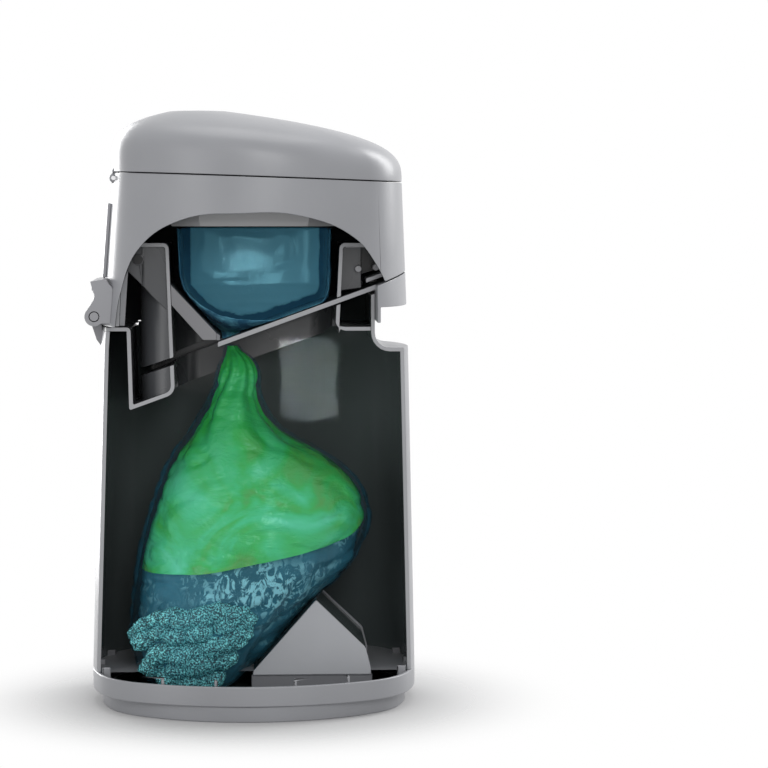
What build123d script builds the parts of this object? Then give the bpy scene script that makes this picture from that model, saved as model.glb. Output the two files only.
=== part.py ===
from build123d import *
import math
import os

# Litter disposal pail, built as a cutaway: the near side of the barrel and of the inner pieces is
# cut away at one plane, so that the throat, the slide gate and the hanging bag can be seen.
# +X is the front (the pull handle), -X the rear (the hinge), -Y the near side, +Z up, millimetres.
# The origin is the middle of the foot, on the floor.

os.makedirs("parts", exist_ok=True)
REACH = 700.0  # longer than the pail in any direction, for cutting tools

# ---- driving dimensions -------------------------------------------------------------------------
WALL = 2.8  # moulded wall of the casings
FIT = 0.2  # gap between pieces that are fixed together
RUN = 0.6  # gap between pieces that move past each other
CUT_PLANE = -35.0  # everything inside is cut away on the near side of this plane

BAND_TOP = 25.5  # top of the base, where the barrel stands
WAIST = 262.0  # where the sides begin to lean more
LID_BASE = 383.0  # height from which the lid's dome closes
BASE_REAR, BASE_FRONT, BASE_HALF_WIDTH = -118.0, 118.0, 101.0
WAIST_REAR, WAIST_FRONT, WAIST_HALF_WIDTH = -112.0, 113.0, 97.5
TOP_REAR, TOP_FRONT, TOP_HALF_WIDTH = -103.6, 108.3, 94.0

END_BOW = 1.17  # radius of the front and rear faces, as a share of the half length
END_SWEEP = math.radians(19.0)  # how far those faces turn before the corners begin
CORNER_BOW = 0.53  # radius of the corners, as a share of the half length

FOOT_HEIGHT, FOOT_INSET = 12.5, 7.0
FLOOR_TOP, FLOOR_THICKNESS = 9.0, 3.0
FIN_TOP, FIN_THICKNESS, FIN_DEPTH = 31.0, 2.4, 7.0
FIN_SIDE_PLACES = (-66.0, -28.0, 28.0, 66.0)  # along the near and far sides
FIN_END_PLACES = (-38.0, 0.0, 38.0)  # along the front and rear ends

WEDGE_APEX_X, WEDGE_HEIGHT = 43.9, 68.8
WEDGE_REAR, WEDGE_FRONT = -3.0, 84.7
WEDGE_SHOULDER = 30.0  # height of the upright front foot of the wedge
WEDGE_FAR = 58.0  # far end of the wedge, which starts at the cut
WEDGE_WALL = 2.5
WEDGE_SHOULDER_RADIUS = 8.0

GATE_ANGLE = 19.93  # slope of the gate, rising to the front
GATE_LEVEL = 275.55  # height of the gate's upper face above the origin
GATE_THICKNESS = 3.5
GATE_REAR = -26.6  # rear edge of the closed gate
GATE_HALF_WIDTH = 62.5
GATE_TRAVEL = 70.0
TONGUE, TONGUE_HALF_WIDTH = 12.0, 38.0  # end of the gate that the handle is screwed to
NOTCH_DEPTH, NOTCH_HALF_WIDTH = 16.0, 12.0  # where the gathered film passes the gate
GATE_SEAT = GATE_THICKNESS + 2.5  # drop from the gate's upper face to the barrel's sloping rim
PARTING_GAP = 0.8  # thin line between casings that meet

RIM_TOP = 276.6  # top of the barrel along its rear
SHOULDER_Z, SHOULDER_FILLET = 261.5, 11.0  # ledge under the handle
FRONT_WALL_X = 87.2  # front face of the upright wall behind the handle
GUTTER_DEPTH = 25.0  # how far the gutter's floor lies under the gate
GUTTER_REAR = -90.7  # rear face of the gutter's rear wall
COLLAR_DROP = 4.6  # how far the collar's edge stays under the gate's upper face

FLANGE_TOP, FLANGE_THICKNESS = 337.5, 2.9
THROAT_HALF, THROAT_HALF_WIDTH, THROAT_CORNER = 63.6, 60.5, 20.0  # at the flange, outside the wall
THROAT_DRAFT = math.radians(2.9)
RIB = 3.0  # thickness of ribs and webs
PEG_RADIUS = 2.2
PEG_PLACES = ((THROAT_HALF + 11.7, 318.6), (THROAT_HALF + 24.6, 319.6))
BOSS_X, BOSS_Z, BOSS_RADIUS = -83.6, 325.5, 1.5
WEB_Y = 10.0  # near face of the web across the front channel
RIB_DEPTH = 8.2  # how far the rib behind the front wall reaches into the gutter

HANDLE_BACK = 87.6  # rear face of the pull handle
HANDLE_BOTTOM, SKIRT_BOTTOM, SKIRT_THICKNESS = 292.0, 281.0, 2.5

JAW_HEEL_TOP, JAW_HEEL_BOTTOM = 307.5, 292.7
JAW_TIP_X = -27.4
LIP = 2.4

RAIL_FACE = GATE_HALF_WIDTH + RUN  # the rail's side that faces the gate
RAIL_THICKNESS, RAIL_LEDGE = 2.6, 4.0
RAIL_REAR, RAIL_FRONT = -78.0, 82.0

TAB_LENGTH = 8.0  # ear of the gate that the spring pulls on
SPRING_Y, SPRING_RADIUS, SPRING_WIRE, SPRING_PITCH = 69.2, 2.4, 0.9, 2.6
SPRING_START = 47.0  # how far the spring's fixed end lies behind the gate's rear edge

HINGE_X, HINGE_Z = -115.0, 284.8
HINGE_PIN_RADIUS, HINGE_PIN_HALF = 2.6, 29.0
KNUCKLE_RADIUS, KNUCKLE_SPLIT = 5.9, 13.0
PIN_CLEARANCE = 0.06
STRAP_TOP = 312.0
SCREW_RADIUS = 2.6  # heads of the small screws

LID_PIN_X, LID_PIN_Z, LID_PIN_RADIUS, LID_PIN_HALF = -101.2, 384.2, 1.6, 30.0
LID_KNUCKLE_RADIUS, LID_KNUCKLE_WIDTH = 3.4, 11.0
LID_KNUCKLE_PLACE = 18.0
HEAD_KNUCKLES = (0.0,)
LID_KNUCKLES = (-LID_KNUCKLE_PLACE, LID_KNUCKLE_PLACE)
SEAM_RISE = -0.0352  # slope of the seam under the lid
SEAM_LEVEL = 385.0
LID_TOP = 432.5
LID_WALL = 2.6
GASKET_WIDTH = 3.0
GASKET_REAR = -96.0  # where the gasket stops, just in front of the lid's hinge

CASSETTE_TOP, CASSETTE_BOTTOM = 370.0, 348.0
CASSETTE_HALF, CASSETTE_HOLE, CASSETTE_CHAMFER = 61.0, 46.0, 22.0
CASSETTE_WALL = 1.8
CASSETTE_RIM = 6.0  # flange that rests on the deck
PLEATS = 6  # folds of film waiting in the cassette
DECK_TOP, DECK_THICKNESS = 365.0, 2.6

FILM = 0.8  # thickness given to the film
FILM_GAP = 0.4  # film stays this clear of its neighbours

ARCH = (  # X and Z along the edge of the window in the head, from its rear foot to its front foot
    (-101.0, RIM_TOP - 12),
    (-95.3, 302.7),
    (-80.6, 335.4),
    (-51.4, 354.3),
    (-10.0, 359.0),
    (34.1, 357.0),
    (71.9, 341.0),
    (86.7, 322.7),
    (98.2, 300.0),
)

THROAT_FILM = (  # height, rear, front, half width
    (CASSETTE_BOTTOM - FILM_GAP, -56.5, 56.5, 56.5),
    (306.0, -53.6, 56.0, 55.0),
    (291.0, -44.0, 36.0, 46.0),
    (280.0, -34.0, 8.0, 30.0),
    (272.5, -24.5, -12.6, 10.0),
    (267.8, -23.8, -14.0, 6.0),
)
BAG = (  # height, rear, front, half depth
    (FLOOR_TOP + FILM_GAP, -70.0, -10.0, 44.0),
    (20.0, -85.0, 8.0, 58.0),
    (55.0, -95.0, 34.0, 66.0),
    (78.0, -94.0, 46.0, 68.0),
    (105.0, -91.5, 78.0, 68.0),
    (135.0, -86.5, 88.5, 66.0),
    (160.0, -77.0, 82.0, 62.0),
    (176.0, -68.0, 62.0, 56.0),
    (200.0, -48.5, 23.0, 46.0),
    (225.0, -36.5, 8.0, 32.0),
    (250.0, -26.5, 4.0, 16.0),
    (262.5, -23.5, -11.6, 6.0),
)


# ---- shared shapes ------------------------------------------------------------------------------
def section(height):
    """Rear, front and half width of the casing at a height."""
    if height <= WAIST:
        share = (height - BAND_TOP) / (WAIST - BAND_TOP)
        low, high = (BASE_REAR, BASE_FRONT, BASE_HALF_WIDTH), (WAIST_REAR, WAIST_FRONT, WAIST_HALF_WIDTH)
    else:
        share = (height - WAIST) / (LID_BASE - WAIST)
        low, high = (WAIST_REAR, WAIST_FRONT, WAIST_HALF_WIDTH), (TOP_REAR, TOP_FRONT, TOP_HALF_WIDTH)
    return tuple(a + (b - a) * share for a, b in zip(low, high))


def polar(radius, angle):
    return Vector(radius * math.cos(angle), radius * math.sin(angle))


def plan(rear, front, half_width, inset=0.0):
    """The casing's outline from above: eight tangent arcs, drawn this far inside the true one."""
    half = (front - rear) / 2
    end_radius, corner_radius = END_BOW * half, CORNER_BOW * half
    corner = Vector(half - end_radius, 0) + polar(end_radius - corner_radius, END_SWEEP)
    spread = corner.X**2 + (corner.Y - half_width) ** 2 - corner_radius**2
    side_radius = spread / (2 * (half_width - corner.Y - corner_radius))
    side_turn = math.atan2(corner.Y - half_width + side_radius, corner.X)
    end_join = corner + polar(corner_radius - inset, END_SWEEP)
    corner_middle = corner + polar(corner_radius - inset, (END_SWEEP + side_turn) / 2)
    side_join = corner + polar(corner_radius - inset, side_turn)

    def turned(point, sx, sy):
        return ((front + rear) / 2 + sx * point.X, sy * point.Y)

    arcs = []
    for sx in (1, -1):
        end = Vector(half - inset, 0)
        side = Vector(0, half_width - inset)
        arcs.append(ThreePointArc(turned(end_join, sx, -1), turned(end, sx, 1), turned(end_join, sx, 1)))
        arcs.append(ThreePointArc(turned(side_join, -1, sx), turned(side, 1, sx), turned(side_join, 1, sx)))
        for sy in (1, -1):
            arcs.append(
                ThreePointArc(
                    turned(end_join, sx, sy), turned(corner_middle, sx, sy), turned(side_join, sx, sy)
                )
            )
    return make_face(arcs)


def casing(low, high, inset=0.0):
    """The space inside the casing's outline between two heights."""
    heights = [low] + [z for z in (WAIST,) if low < z < high] + [high]
    return loft([Pos(Z=z) * plan(*section(z), inset) for z in heights], ruled=True)


def prism(points, near, far, radii=0.0):
    """A solid between two depths, its outline given in X and Z, with its corners rounded."""
    if isinstance(radii, (int, float)) and radii == 0:
        line = Polyline(*points, close=True)
    else:
        line = FilletPolyline(*points, radius=radii, close=True)
    return extrude(Plane.XZ.offset(-far) * make_face(line), far - near)


def rod(x, z, radius, near, far):
    """A round bar along Y."""
    return extrude(Plane.XZ.offset(-far) * Pos(x, z) * Circle(radius), far - near)


def block(x0, x1, y0, y1, z0, z1):
    return Pos((x0 + x1) / 2, (y0 + y1) / 2, (z0 + z1) / 2) * Box(x1 - x0, y1 - y0, z1 - z0)


def gate_height(x, drop=0.0):
    """Height of the gate's upper face at x, or of a plane this far under it."""
    slope = math.radians(GATE_ANGLE)
    return GATE_LEVEL + math.tan(slope) * x - drop / math.cos(slope)


def gate_axis():
    """Plane at the middle of the gate's rear edge, with its X along the way the gate slides."""
    slope = math.radians(GATE_ANGLE)
    return Plane(
        origin=(GATE_REAR, 0, gate_height(GATE_REAR, GATE_THICKNESS / 2)),
        x_dir=(math.cos(slope), 0, math.sin(slope)),
        z_dir=(-math.sin(slope), 0, math.cos(slope)),
    )


def gate_band(rear, front, top_drop, bottom_drop, near, far, radii=0.0):
    """A slab that lies parallel to the gate."""
    points = [
        (rear, gate_height(rear, bottom_drop)),
        (front, gate_height(front, bottom_drop)),
        (front, gate_height(front, top_drop)),
        (rear, gate_height(rear, top_drop)),
    ]
    return prism(points, near, far, radii)


def above_gate(drop):
    return gate_band(-REACH, REACH, -REACH, drop, -REACH, REACH)


def seam_height(x):
    return SEAM_LEVEL + SEAM_RISE * x


def under_seam(gap):
    """Everything that lies at least this far under the seam below the lid."""
    points = [
        (-REACH, -REACH),
        (REACH, -REACH),
        (REACH, seam_height(REACH) - gap),
        (-REACH, seam_height(-REACH) - gap),
    ]
    return prism(points, -REACH, REACH)


def throat(low, high, inset):
    """The tapering throat between two heights, this far inside its outer face."""
    ends = []
    for z in (low, high):
        smaller = (FLANGE_TOP - z) * math.tan(THROAT_DRAFT) + inset
        length, width = 2 * (THROAT_HALF - smaller), 2 * (THROAT_HALF_WIDTH - smaller)
        ends.append(Pos(Z=z) * RectangleRounded(length, width, THROAT_CORNER - inset))
    return loft(ends, ruled=True)


def cut_open(piece):
    """Takes the near side of a piece away."""
    return piece - block(-REACH, REACH, -REACH, CUT_PLANE, -REACH, REACH)


def save(name, *solids):
    shape = solids[0] if len(solids) == 1 else Compound(children=[Part() + s for s in solids])
    export_step(shape, f"parts/{name}.step")
    print(name, len(shape.solids()), round(sum(s.volume for s in shape.solids())))


# ---- base ---------------------------------------------------------------------------------------
def base_section(inset):
    return plan(BASE_REAR, BASE_FRONT, BASE_HALF_WIDTH, inset)


def base_pan():
    """Foot, floor and rim in one moulding, with the fins that locate the barrel."""
    shelf_top = FOOT_HEIGHT + WALL
    foot = extrude(base_section(FOOT_INSET), FOOT_HEIGHT)
    band = Pos(Z=FOOT_HEIGHT) * extrude(base_section(0), BAND_TOP - FOOT_HEIGHT)
    underside = extrude(base_section(FOOT_INSET + WALL), FLOOR_TOP - FLOOR_THICKNESS)
    well = Pos(Z=FLOOR_TOP) * extrude(base_section(FOOT_INSET + WALL), BAND_TOP)
    room = Pos(Z=shelf_top) * extrude(base_section(WALL), BAND_TOP)
    ring = extrude(base_section(WALL + FIT), FIN_TOP - shelf_top)
    ring -= extrude(base_section(WALL + FIN_DEPTH), FIN_TOP - shelf_top)
    half = FIN_THICKNESS / 2
    slabs = [block(x - half, x + half, -REACH, REACH, 0, REACH) for x in FIN_SIDE_PLACES]
    slabs += [block(-REACH, REACH, y - half, y + half, 0, REACH) for y in FIN_END_PLACES]
    fins = Pos(Z=shelf_top) * ring & (Part() + slabs)
    return foot + band - underside - well - room + fins


def wedge_outline(grow=0.0):
    base = FLOOR_TOP
    return [
        (WEDGE_REAR - grow, base),
        (WEDGE_FRONT + grow, base),
        (WEDGE_FRONT + grow, base + WEDGE_SHOULDER),
        (WEDGE_APEX_X, base + WEDGE_HEIGHT + 1.3 * grow),
        (WEDGE_REAR - grow, base + FLOOR_THICKNESS),
    ]


def floor_wedge():
    """Roof-shaped block on the floor that tips the bag towards the rear."""
    outer = prism(wedge_outline(), CUT_PLANE, WEDGE_FAR, (0, 0, WEDGE_SHOULDER_RADIUS, 1.5, 0))
    hollow = prism(wedge_outline(-WEDGE_WALL), CUT_PLANE + WEDGE_WALL, WEDGE_FAR - WEDGE_WALL)
    return outer - hollow


# ---- barrel -------------------------------------------------------------------------------------
def barrel_profile(inset):
    """Side outline of the barrel, from its foot to the ledge, the front wall and the sloping top."""
    wall_front = FRONT_WALL_X - inset
    points = [
        (-REACH, BAND_TOP),
        (REACH, BAND_TOP),
        (REACH, SHOULDER_Z - inset),
        (wall_front, SHOULDER_Z - inset),
    ]
    if inset:
        points += [(wall_front, REACH), (-REACH, REACH)]
    else:
        rim_end = (RIM_TOP - gate_height(0, GATE_SEAT)) / math.tan(math.radians(GATE_ANGLE))
        points += [(wall_front, gate_height(wall_front, GATE_SEAT)), (rim_end, RIM_TOP), (-REACH, RIM_TOP)]
    radii = [0] * len(points)
    radii[3] = SHOULDER_FILLET + inset
    return prism(points, -REACH, REACH, radii)


def barrel_shell():
    top = RIM_TOP + 2 * GUTTER_DEPTH
    shell = casing(BAND_TOP, top) & barrel_profile(0)
    shell -= casing(BAND_TOP, top, WALL) & barrel_profile(WALL)
    under_flange = block(-REACH, GUTTER_REAR + WALL, -REACH, REACH, RIM_TOP - WALL, REACH)
    rib_rear, rib_front = FRONT_WALL_X - WALL - RIB_DEPTH, FRONT_WALL_X - WALL / 2
    rib_top = gate_height(rib_rear, GATE_SEAT)
    rib = prism(
        [
            (rib_rear, gate_height(rib_rear, GUTTER_DEPTH - FIT) + FIT),
            (rib_front, gate_height(rib_front, GUTTER_DEPTH - FIT) + FIT),
            (rib_front, rib_top),
            (rib_rear, rib_top),
        ],
        CUT_PLANE + 2 * RIB,
        CUT_PLANE + 3 * RIB,
        (3.0, 0, 0, 0),
    )
    return cut_open(shell - under_flange) + rib


def deck_ring():
    """Insert in the top of the barrel: sloping gutter, collar round the throat and rear flange."""
    floor_drop = GUTTER_DEPTH + WALL
    inner_front = FRONT_WALL_X - WALL - FIT
    inside = casing(BAND_TOP, RIM_TOP + GUTTER_DEPTH, WALL + FIT)
    floor = gate_band(GUTTER_REAR, inner_front, GUTTER_DEPTH, floor_drop, -REACH, REACH)
    collar_space = gate_band(GUTTER_REAR, inner_front, COLLAR_DROP, floor_drop, -REACH, REACH)
    low, high = RIM_TOP - REACH / 6, FLANGE_TOP
    collar = (throat(low, high, 0) - throat(low, high, WALL)) & collar_space
    foot_z = gate_height(GUTTER_REAR, floor_drop)
    rear_wall = block(GUTTER_REAR, GUTTER_REAR + WALL, -REACH, REACH, foot_z, RIM_TOP)
    ring = ((floor + rear_wall) & inside) - throat(low, high, WALL) + collar
    flange = casing(RIM_TOP - WALL, RIM_TOP) & block(-REACH, GUTTER_REAR + WALL, -REACH, REACH, 0, REACH)
    return cut_open(ring + flange)


def hinge_lug():
    """Middle knuckle of the head's hinge, on the barrel's rear wall."""
    foot = RIM_TOP - 14.0
    arm = prism(
        [
            (WAIST_REAR - RIB, foot + 4.0),
            (WAIST_REAR, foot),
            (WAIST_REAR + 12.0, foot),
            (WAIST_REAR + 12.0, RIM_TOP - WALL),
            (HINGE_X + KNUCKLE_RADIUS - 2.0, RIM_TOP - WALL),
            (HINGE_X + 3.0, HINGE_Z),
            (HINGE_X - KNUCKLE_RADIUS + 0.6, HINGE_Z - 2.0),
        ],
        -KNUCKLE_SPLIT,
        KNUCKLE_SPLIT,
    )
    knuckle = rod(HINGE_X, HINGE_Z, KNUCKLE_RADIUS, -KNUCKLE_SPLIT, KNUCKLE_SPLIT)
    lug = arm - casing(BAND_TOP, RIM_TOP + 60) + knuckle
    return lug - rod(HINGE_X, HINGE_Z, HINGE_PIN_RADIUS + PIN_CLEARANCE, -REACH, REACH)


def hinge_pin():
    shank = rod(HINGE_X, HINGE_Z, HINGE_PIN_RADIUS, -HINGE_PIN_HALF, HINGE_PIN_HALF)
    head = rod(HINGE_X, HINGE_Z, HINGE_PIN_RADIUS + 1.6, -HINGE_PIN_HALF - 1.5, -HINGE_PIN_HALF)
    return shank + head


# ---- head ---------------------------------------------------------------------------------------
def head_profile():
    """Side outline of the head: level along the rear, then along the gate, up to the lid's seam."""
    drop = GATE_SEAT - PARTING_GAP
    bottom = RIM_TOP + PARTING_GAP
    corner_x = (bottom - gate_height(0, drop)) / math.tan(math.radians(GATE_ANGLE))
    points = [
        (-REACH, bottom),
        (corner_x, bottom),
        (HANDLE_BACK - RUN, gate_height(HANDLE_BACK - RUN, drop)),
        (HANDLE_BACK - RUN, gate_height(HANDLE_BACK - RUN, -PARTING_GAP)),
        (REACH, gate_height(REACH, -PARTING_GAP)),
        (REACH, REACH),
        (-REACH, REACH),
    ]
    return prism(points, -REACH, REACH)


def arch_window():
    """The window cut through the near side of the head, with a flat crown and falling sides."""
    curve = Spline(*ARCH, tangents=((0.05, 1), (0.25, -1)))
    below = Vector(0, -40)
    closing = Polyline(curve @ 1, curve @ 1 + below, curve @ 0 + below, curve @ 0)
    face = Plane.XZ.offset(-CUT_PLANE) * make_face([*curve.edges(), *closing.edges()])
    return extrude(face, REACH)


def lid_pin_hole():
    return rod(LID_PIN_X, LID_PIN_Z, LID_PIN_RADIUS + PIN_CLEARANCE, -REACH, REACH)


def lid_knuckles(places, grow=0.0):
    half = LID_KNUCKLE_WIDTH / 2 + grow
    return [rod(LID_PIN_X, LID_PIN_Z, LID_KNUCKLE_RADIUS + grow, y - half, y + half) for y in places]


def rear_relief():
    """Room behind the seam for the lid's rear edge to swing in."""
    return prism(
        [
            (-REACH, seam_height(-REACH) - 3.4),
            (TOP_REAR + 4.5, seam_height(TOP_REAR) - PARTING_GAP / 2),
            (-REACH, seam_height(-REACH) + REACH),
        ],
        -REACH,
        REACH,
    )


def head_shell():
    shell = casing(RIM_TOP - WALL, SEAM_LEVEL + 10) - casing(RIM_TOP - 10, SEAM_LEVEL + 20, WALL)
    shell = shell & head_profile()
    ledge = gate_band(FRONT_WALL_X - 6.5, REACH, -6.4, -3.5, CUT_PLANE, GATE_HALF_WIDTH)
    shell += ledge & casing(RIM_TOP, SEAM_LEVEL, WALL / 2)
    shell = (shell - arch_window()) & under_seam(PARTING_GAP / 2)
    shell -= rear_relief()
    half = LID_KNUCKLE_WIDTH / 2
    root = block(LID_PIN_X - 1.0, LID_PIN_X + 2.0, -half, half, LID_PIN_Z - 9, LID_PIN_Z)
    side, slot_front = half + RUN, LID_PIN_X + LID_KNUCKLE_RADIUS + RUN
    slots = [
        block(LID_PIN_X - 5.0, slot_front, y - side, y + side, LID_PIN_Z, REACH) for y in LID_KNUCKLES
    ]
    shell = shell - lid_knuckles(LID_KNUCKLES, RUN) - slots + lid_knuckles(HEAD_KNUCKLES) + root
    pocket = rod(HINGE_X, HINGE_Z, KNUCKLE_RADIUS + RUN, -HINGE_PIN_HALF - 4, HINGE_PIN_HALF + RUN)
    return shell - lid_pin_hole() - pocket


def hinge_strap():
    """Bracket on the rear of the head, with the two outer knuckles of the hinge."""
    arm_points = [
        (HINGE_X, HINGE_Z - KNUCKLE_RADIUS / 2),
        (WAIST_REAR + 14.0, HINGE_Z - KNUCKLE_RADIUS / 2),
        (WAIST_REAR + 14.0, STRAP_TOP),
        (HINGE_X + 4.0, STRAP_TOP),
        (HINGE_X - 3.4, STRAP_TOP - 3.7),
        (HINGE_X - 0.8, STRAP_TOP - 11.0),
        (HINGE_X - 2.8, STRAP_TOP - 18.0),
        (HINGE_X - KNUCKLE_RADIUS * 0.7, HINGE_Z + 2.0),
    ]
    radii = (0, 0, 0, 0, 2.0, 4.0, 3.0, 0)
    split, end = KNUCKLE_SPLIT + PIN_CLEARANCE * 4, HINGE_PIN_HALF - FIT
    outside = casing(BAND_TOP, LID_BASE)
    sides = []
    for near, far in ((-end, -split), (split, end)):
        arm = prism(arm_points, near, far, radii) - outside
        sides.append(arm + rod(HINGE_X, HINGE_Z, KNUCKLE_RADIUS, near, far))
    bridge_points = arm_points[2:5] + [(HINGE_X - 2.0, HINGE_Z + 16.0), (WAIST_REAR + 14.0, HINGE_Z + 16.0)]
    bridge = prism(bridge_points, -end, end) - outside
    strap = sides[0] + sides[1] + bridge - screw_seats(SCREW_RADIUS + FIT, 6.0, FIT)
    return strap - rod(HINGE_X, HINGE_Z, HINGE_PIN_RADIUS + PIN_CLEARANCE, -REACH, REACH)


def spine_cover():
    """Raised strip up the rear of the head, above the bracket."""
    space = casing(STRAP_TOP + FIT, LID_BASE - 17.0, -2.5) - casing(STRAP_TOP - 5, LID_BASE, 0)
    return space & block(-REACH, 0, -20.0, 20.0, 0, REACH)


def screw_seats(radius, length, sink):
    """Round bars at the two screws of the bracket, this much deeper than the screws' own seats."""
    seat_x, seat_z = HINGE_X - 0.6 + sink, HINGE_Z + 20.5
    seat = Pos(seat_x - length / 2, 0, seat_z) * Rot(Y=-90) * Cylinder(radius, length)
    return [Pos(Y=y) * seat for y in (-20.0, 20.0)]


def strap_screws():
    return screw_seats(SCREW_RADIUS, 2.2, 0.0)


def throat_liner():
    """Flange under the cassette with the tapering throat below it, and its ribs."""
    low = RIM_TOP - 60
    flange = casing(FLANGE_TOP - FLANGE_THICKNESS, FLANGE_TOP, WALL + FIT)
    tube = throat(low, FLANGE_TOP, 0) & above_gate(-RUN)
    liner = flange + tube - throat(low, FLANGE_TOP + 0.01, WALL)
    liner = cut_open(liner)
    under = FLANGE_TOP - FLANGE_THICKNESS
    rear_rib = prism(
        [
            (-THROAT_HALF + 1.5, under + 1),
            (-84.5, under + 1),
            (-90.0, 322.0),
            (-77.0, 301.0),
            (-78.0, 262.0),
            (-THROAT_HALF + 4.6, 256.0),
        ],
        CUT_PLANE + RIB,
        CUT_PLANE + 2 * RIB,
    )
    front_rib = prism(
        [
            (THROAT_HALF - 3.5, under + 1),
            (THROAT_HALF - 3.5, gate_height(THROAT_HALF + 8, -1.0)),
            (THROAT_HALF + 14.0, gate_height(THROAT_HALF + 14.0, -1.0)),
            (THROAT_HALF + 14.0, under + 1),
        ],
        CUT_PLANE + 3 * RIB,
        CUT_PLANE + 4 * RIB,
    )
    cross_web = prism(
        [
            (THROAT_HALF - 3.0, under + 1),
            (THROAT_HALF - 3.0, gate_height(THROAT_HALF, -8.0)),
            (FRONT_WALL_X + 7.0, gate_height(FRONT_WALL_X + 7.0, -8.0)),
            (FRONT_WALL_X + 7.0, under + 1),
        ],
        WEB_Y,
        WEB_Y + RIB,
    )
    hollow = throat(low, FLANGE_TOP + 0.01, WALL)
    liner += (rear_rib + front_rib + cross_web) - hollow
    liner -= [rod(x, z, PEG_RADIUS + PIN_CLEARANCE, -REACH, WEB_Y - 0.1) for x, z in PEG_PLACES]
    return liner - rod(BOSS_X, BOSS_Z, BOSS_RADIUS, -REACH, 0)


def front_pegs():
    """Two round pins in the front channel."""
    return [rod(x, z, PEG_RADIUS, CUT_PLANE + RIB, WEB_Y) for x, z in PEG_PLACES]


def boss_screw():
    near = CUT_PLANE + RIB
    head = rod(BOSS_X, BOSS_Z, 3.4, near - 2.2, near)
    return head + rod(BOSS_X, BOSS_Z, BOSS_RADIUS - PIN_CLEARANCE, near, near + RIB - FIT)


def rear_jaw():
    """Ramp below the rear of the throat, against which the gate closes the film."""
    heel_x = -THROAT_HALF + (FLANGE_TOP - JAW_HEEL_TOP) * math.tan(THROAT_DRAFT) + WALL + FIT
    low_x = -THROAT_HALF + (FLANGE_TOP - JAW_HEEL_BOTTOM) * math.tan(THROAT_DRAFT) + WALL + FIT
    tip_z = gate_height(JAW_TIP_X, -RUN - 1.0)
    points = [
        (heel_x, JAW_HEEL_TOP),
        (low_x, JAW_HEEL_BOTTOM),
        (JAW_TIP_X - 9.8, tip_z),
        (JAW_TIP_X, tip_z),
        (JAW_TIP_X, tip_z + 5.0),
    ]
    ramp = prism(points, CUT_PLANE, REACH, (0, 0, 2.5, 0, 0))
    return ramp & throat(RIM_TOP - 60, FLANGE_TOP, WALL + FIT)


def jaw_lip():
    """Soft strip along the tip of the ramp."""
    tip_z = gate_height(JAW_TIP_X, -RUN - 1.0)
    front = JAW_TIP_X + LIP
    points = [
        (JAW_TIP_X, tip_z),
        (front, gate_height(front, -RUN)),
        (front, tip_z + 3.2),
        (JAW_TIP_X, tip_z + 5.0),
    ]
    return prism(points, CUT_PLANE, REACH) & throat(RIM_TOP - 60, FLANGE_TOP, WALL + FIT)


def gate_rail():
    """Rail along the far side that carries the gate, hung from the flange of the throat."""
    outer = RAIL_FACE + RAIL_THICKNESS
    ledge_top = GATE_THICKNESS + RUN
    hang = FLANGE_TOP - FLANGE_THICKNESS - FIT
    web_points = [
        (RAIL_REAR, gate_height(RAIL_REAR, ledge_top)),
        (RAIL_FRONT, gate_height(RAIL_FRONT, ledge_top)),
        (RAIL_FRONT, hang),
        (RAIL_REAR, hang),
    ]
    web = prism(web_points, RAIL_FACE, outer)
    ledge = gate_band(RAIL_REAR, RAIL_FRONT, ledge_top, ledge_top + 2.5, RAIL_FACE - RAIL_LEDGE - RUN, outer)
    tab_window = gate_band(
        GATE_REAR - 2 * RUN, GATE_REAR + TAB_LENGTH + GATE_TRAVEL, -RUN, ledge_top, 0, REACH
    )
    post = gate_axis() * Pos(X=-SPRING_START - 2.0) * box_between(outer - FIT, SPRING_Y + 1.0)
    return (web + ledge - tab_window + post) & casing(BAND_TOP, LID_BASE, WALL + RUN)


def box_between(near, far):
    return Pos(Y=(near + far) / 2) * Box(4.0, far - near, 8.0)


def gate_spring():
    """Coil that draws the gate shut."""
    end_gap = SPRING_WIRE / 2 + FIT
    length = SPRING_START - 2 * end_gap
    start = gate_axis() * Pos(-length - end_gap, SPRING_Y, 0) * Rot(Y=90)
    helix = start * Helix(pitch=SPRING_PITCH, height=length, radius=SPRING_RADIUS)
    profile = Plane(origin=helix @ 0, z_dir=helix % 0) * Circle(SPRING_WIRE / 2)
    return sweep(profile, path=helix)


# ---- gate ---------------------------------------------------------------------------------------
def gate_plate():
    plate = gate_band(GATE_REAR, HANDLE_BACK, 0, GATE_THICKNESS, CUT_PLANE, GATE_HALF_WIDTH)
    plate += gate_band(0, HANDLE_BACK + TONGUE, 0, GATE_THICKNESS, CUT_PLANE, TONGUE_HALF_WIDTH)
    notch = block(GATE_REAR - 5, GATE_REAR + NOTCH_DEPTH, -NOTCH_HALF_WIDTH, NOTCH_HALF_WIDTH, 0, REACH)
    tab = gate_band(
        GATE_REAR, GATE_REAR + TAB_LENGTH, 0, GATE_THICKNESS, GATE_HALF_WIDTH - 1, SPRING_Y + SPRING_RADIUS
    )
    return plate - notch + tab


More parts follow.
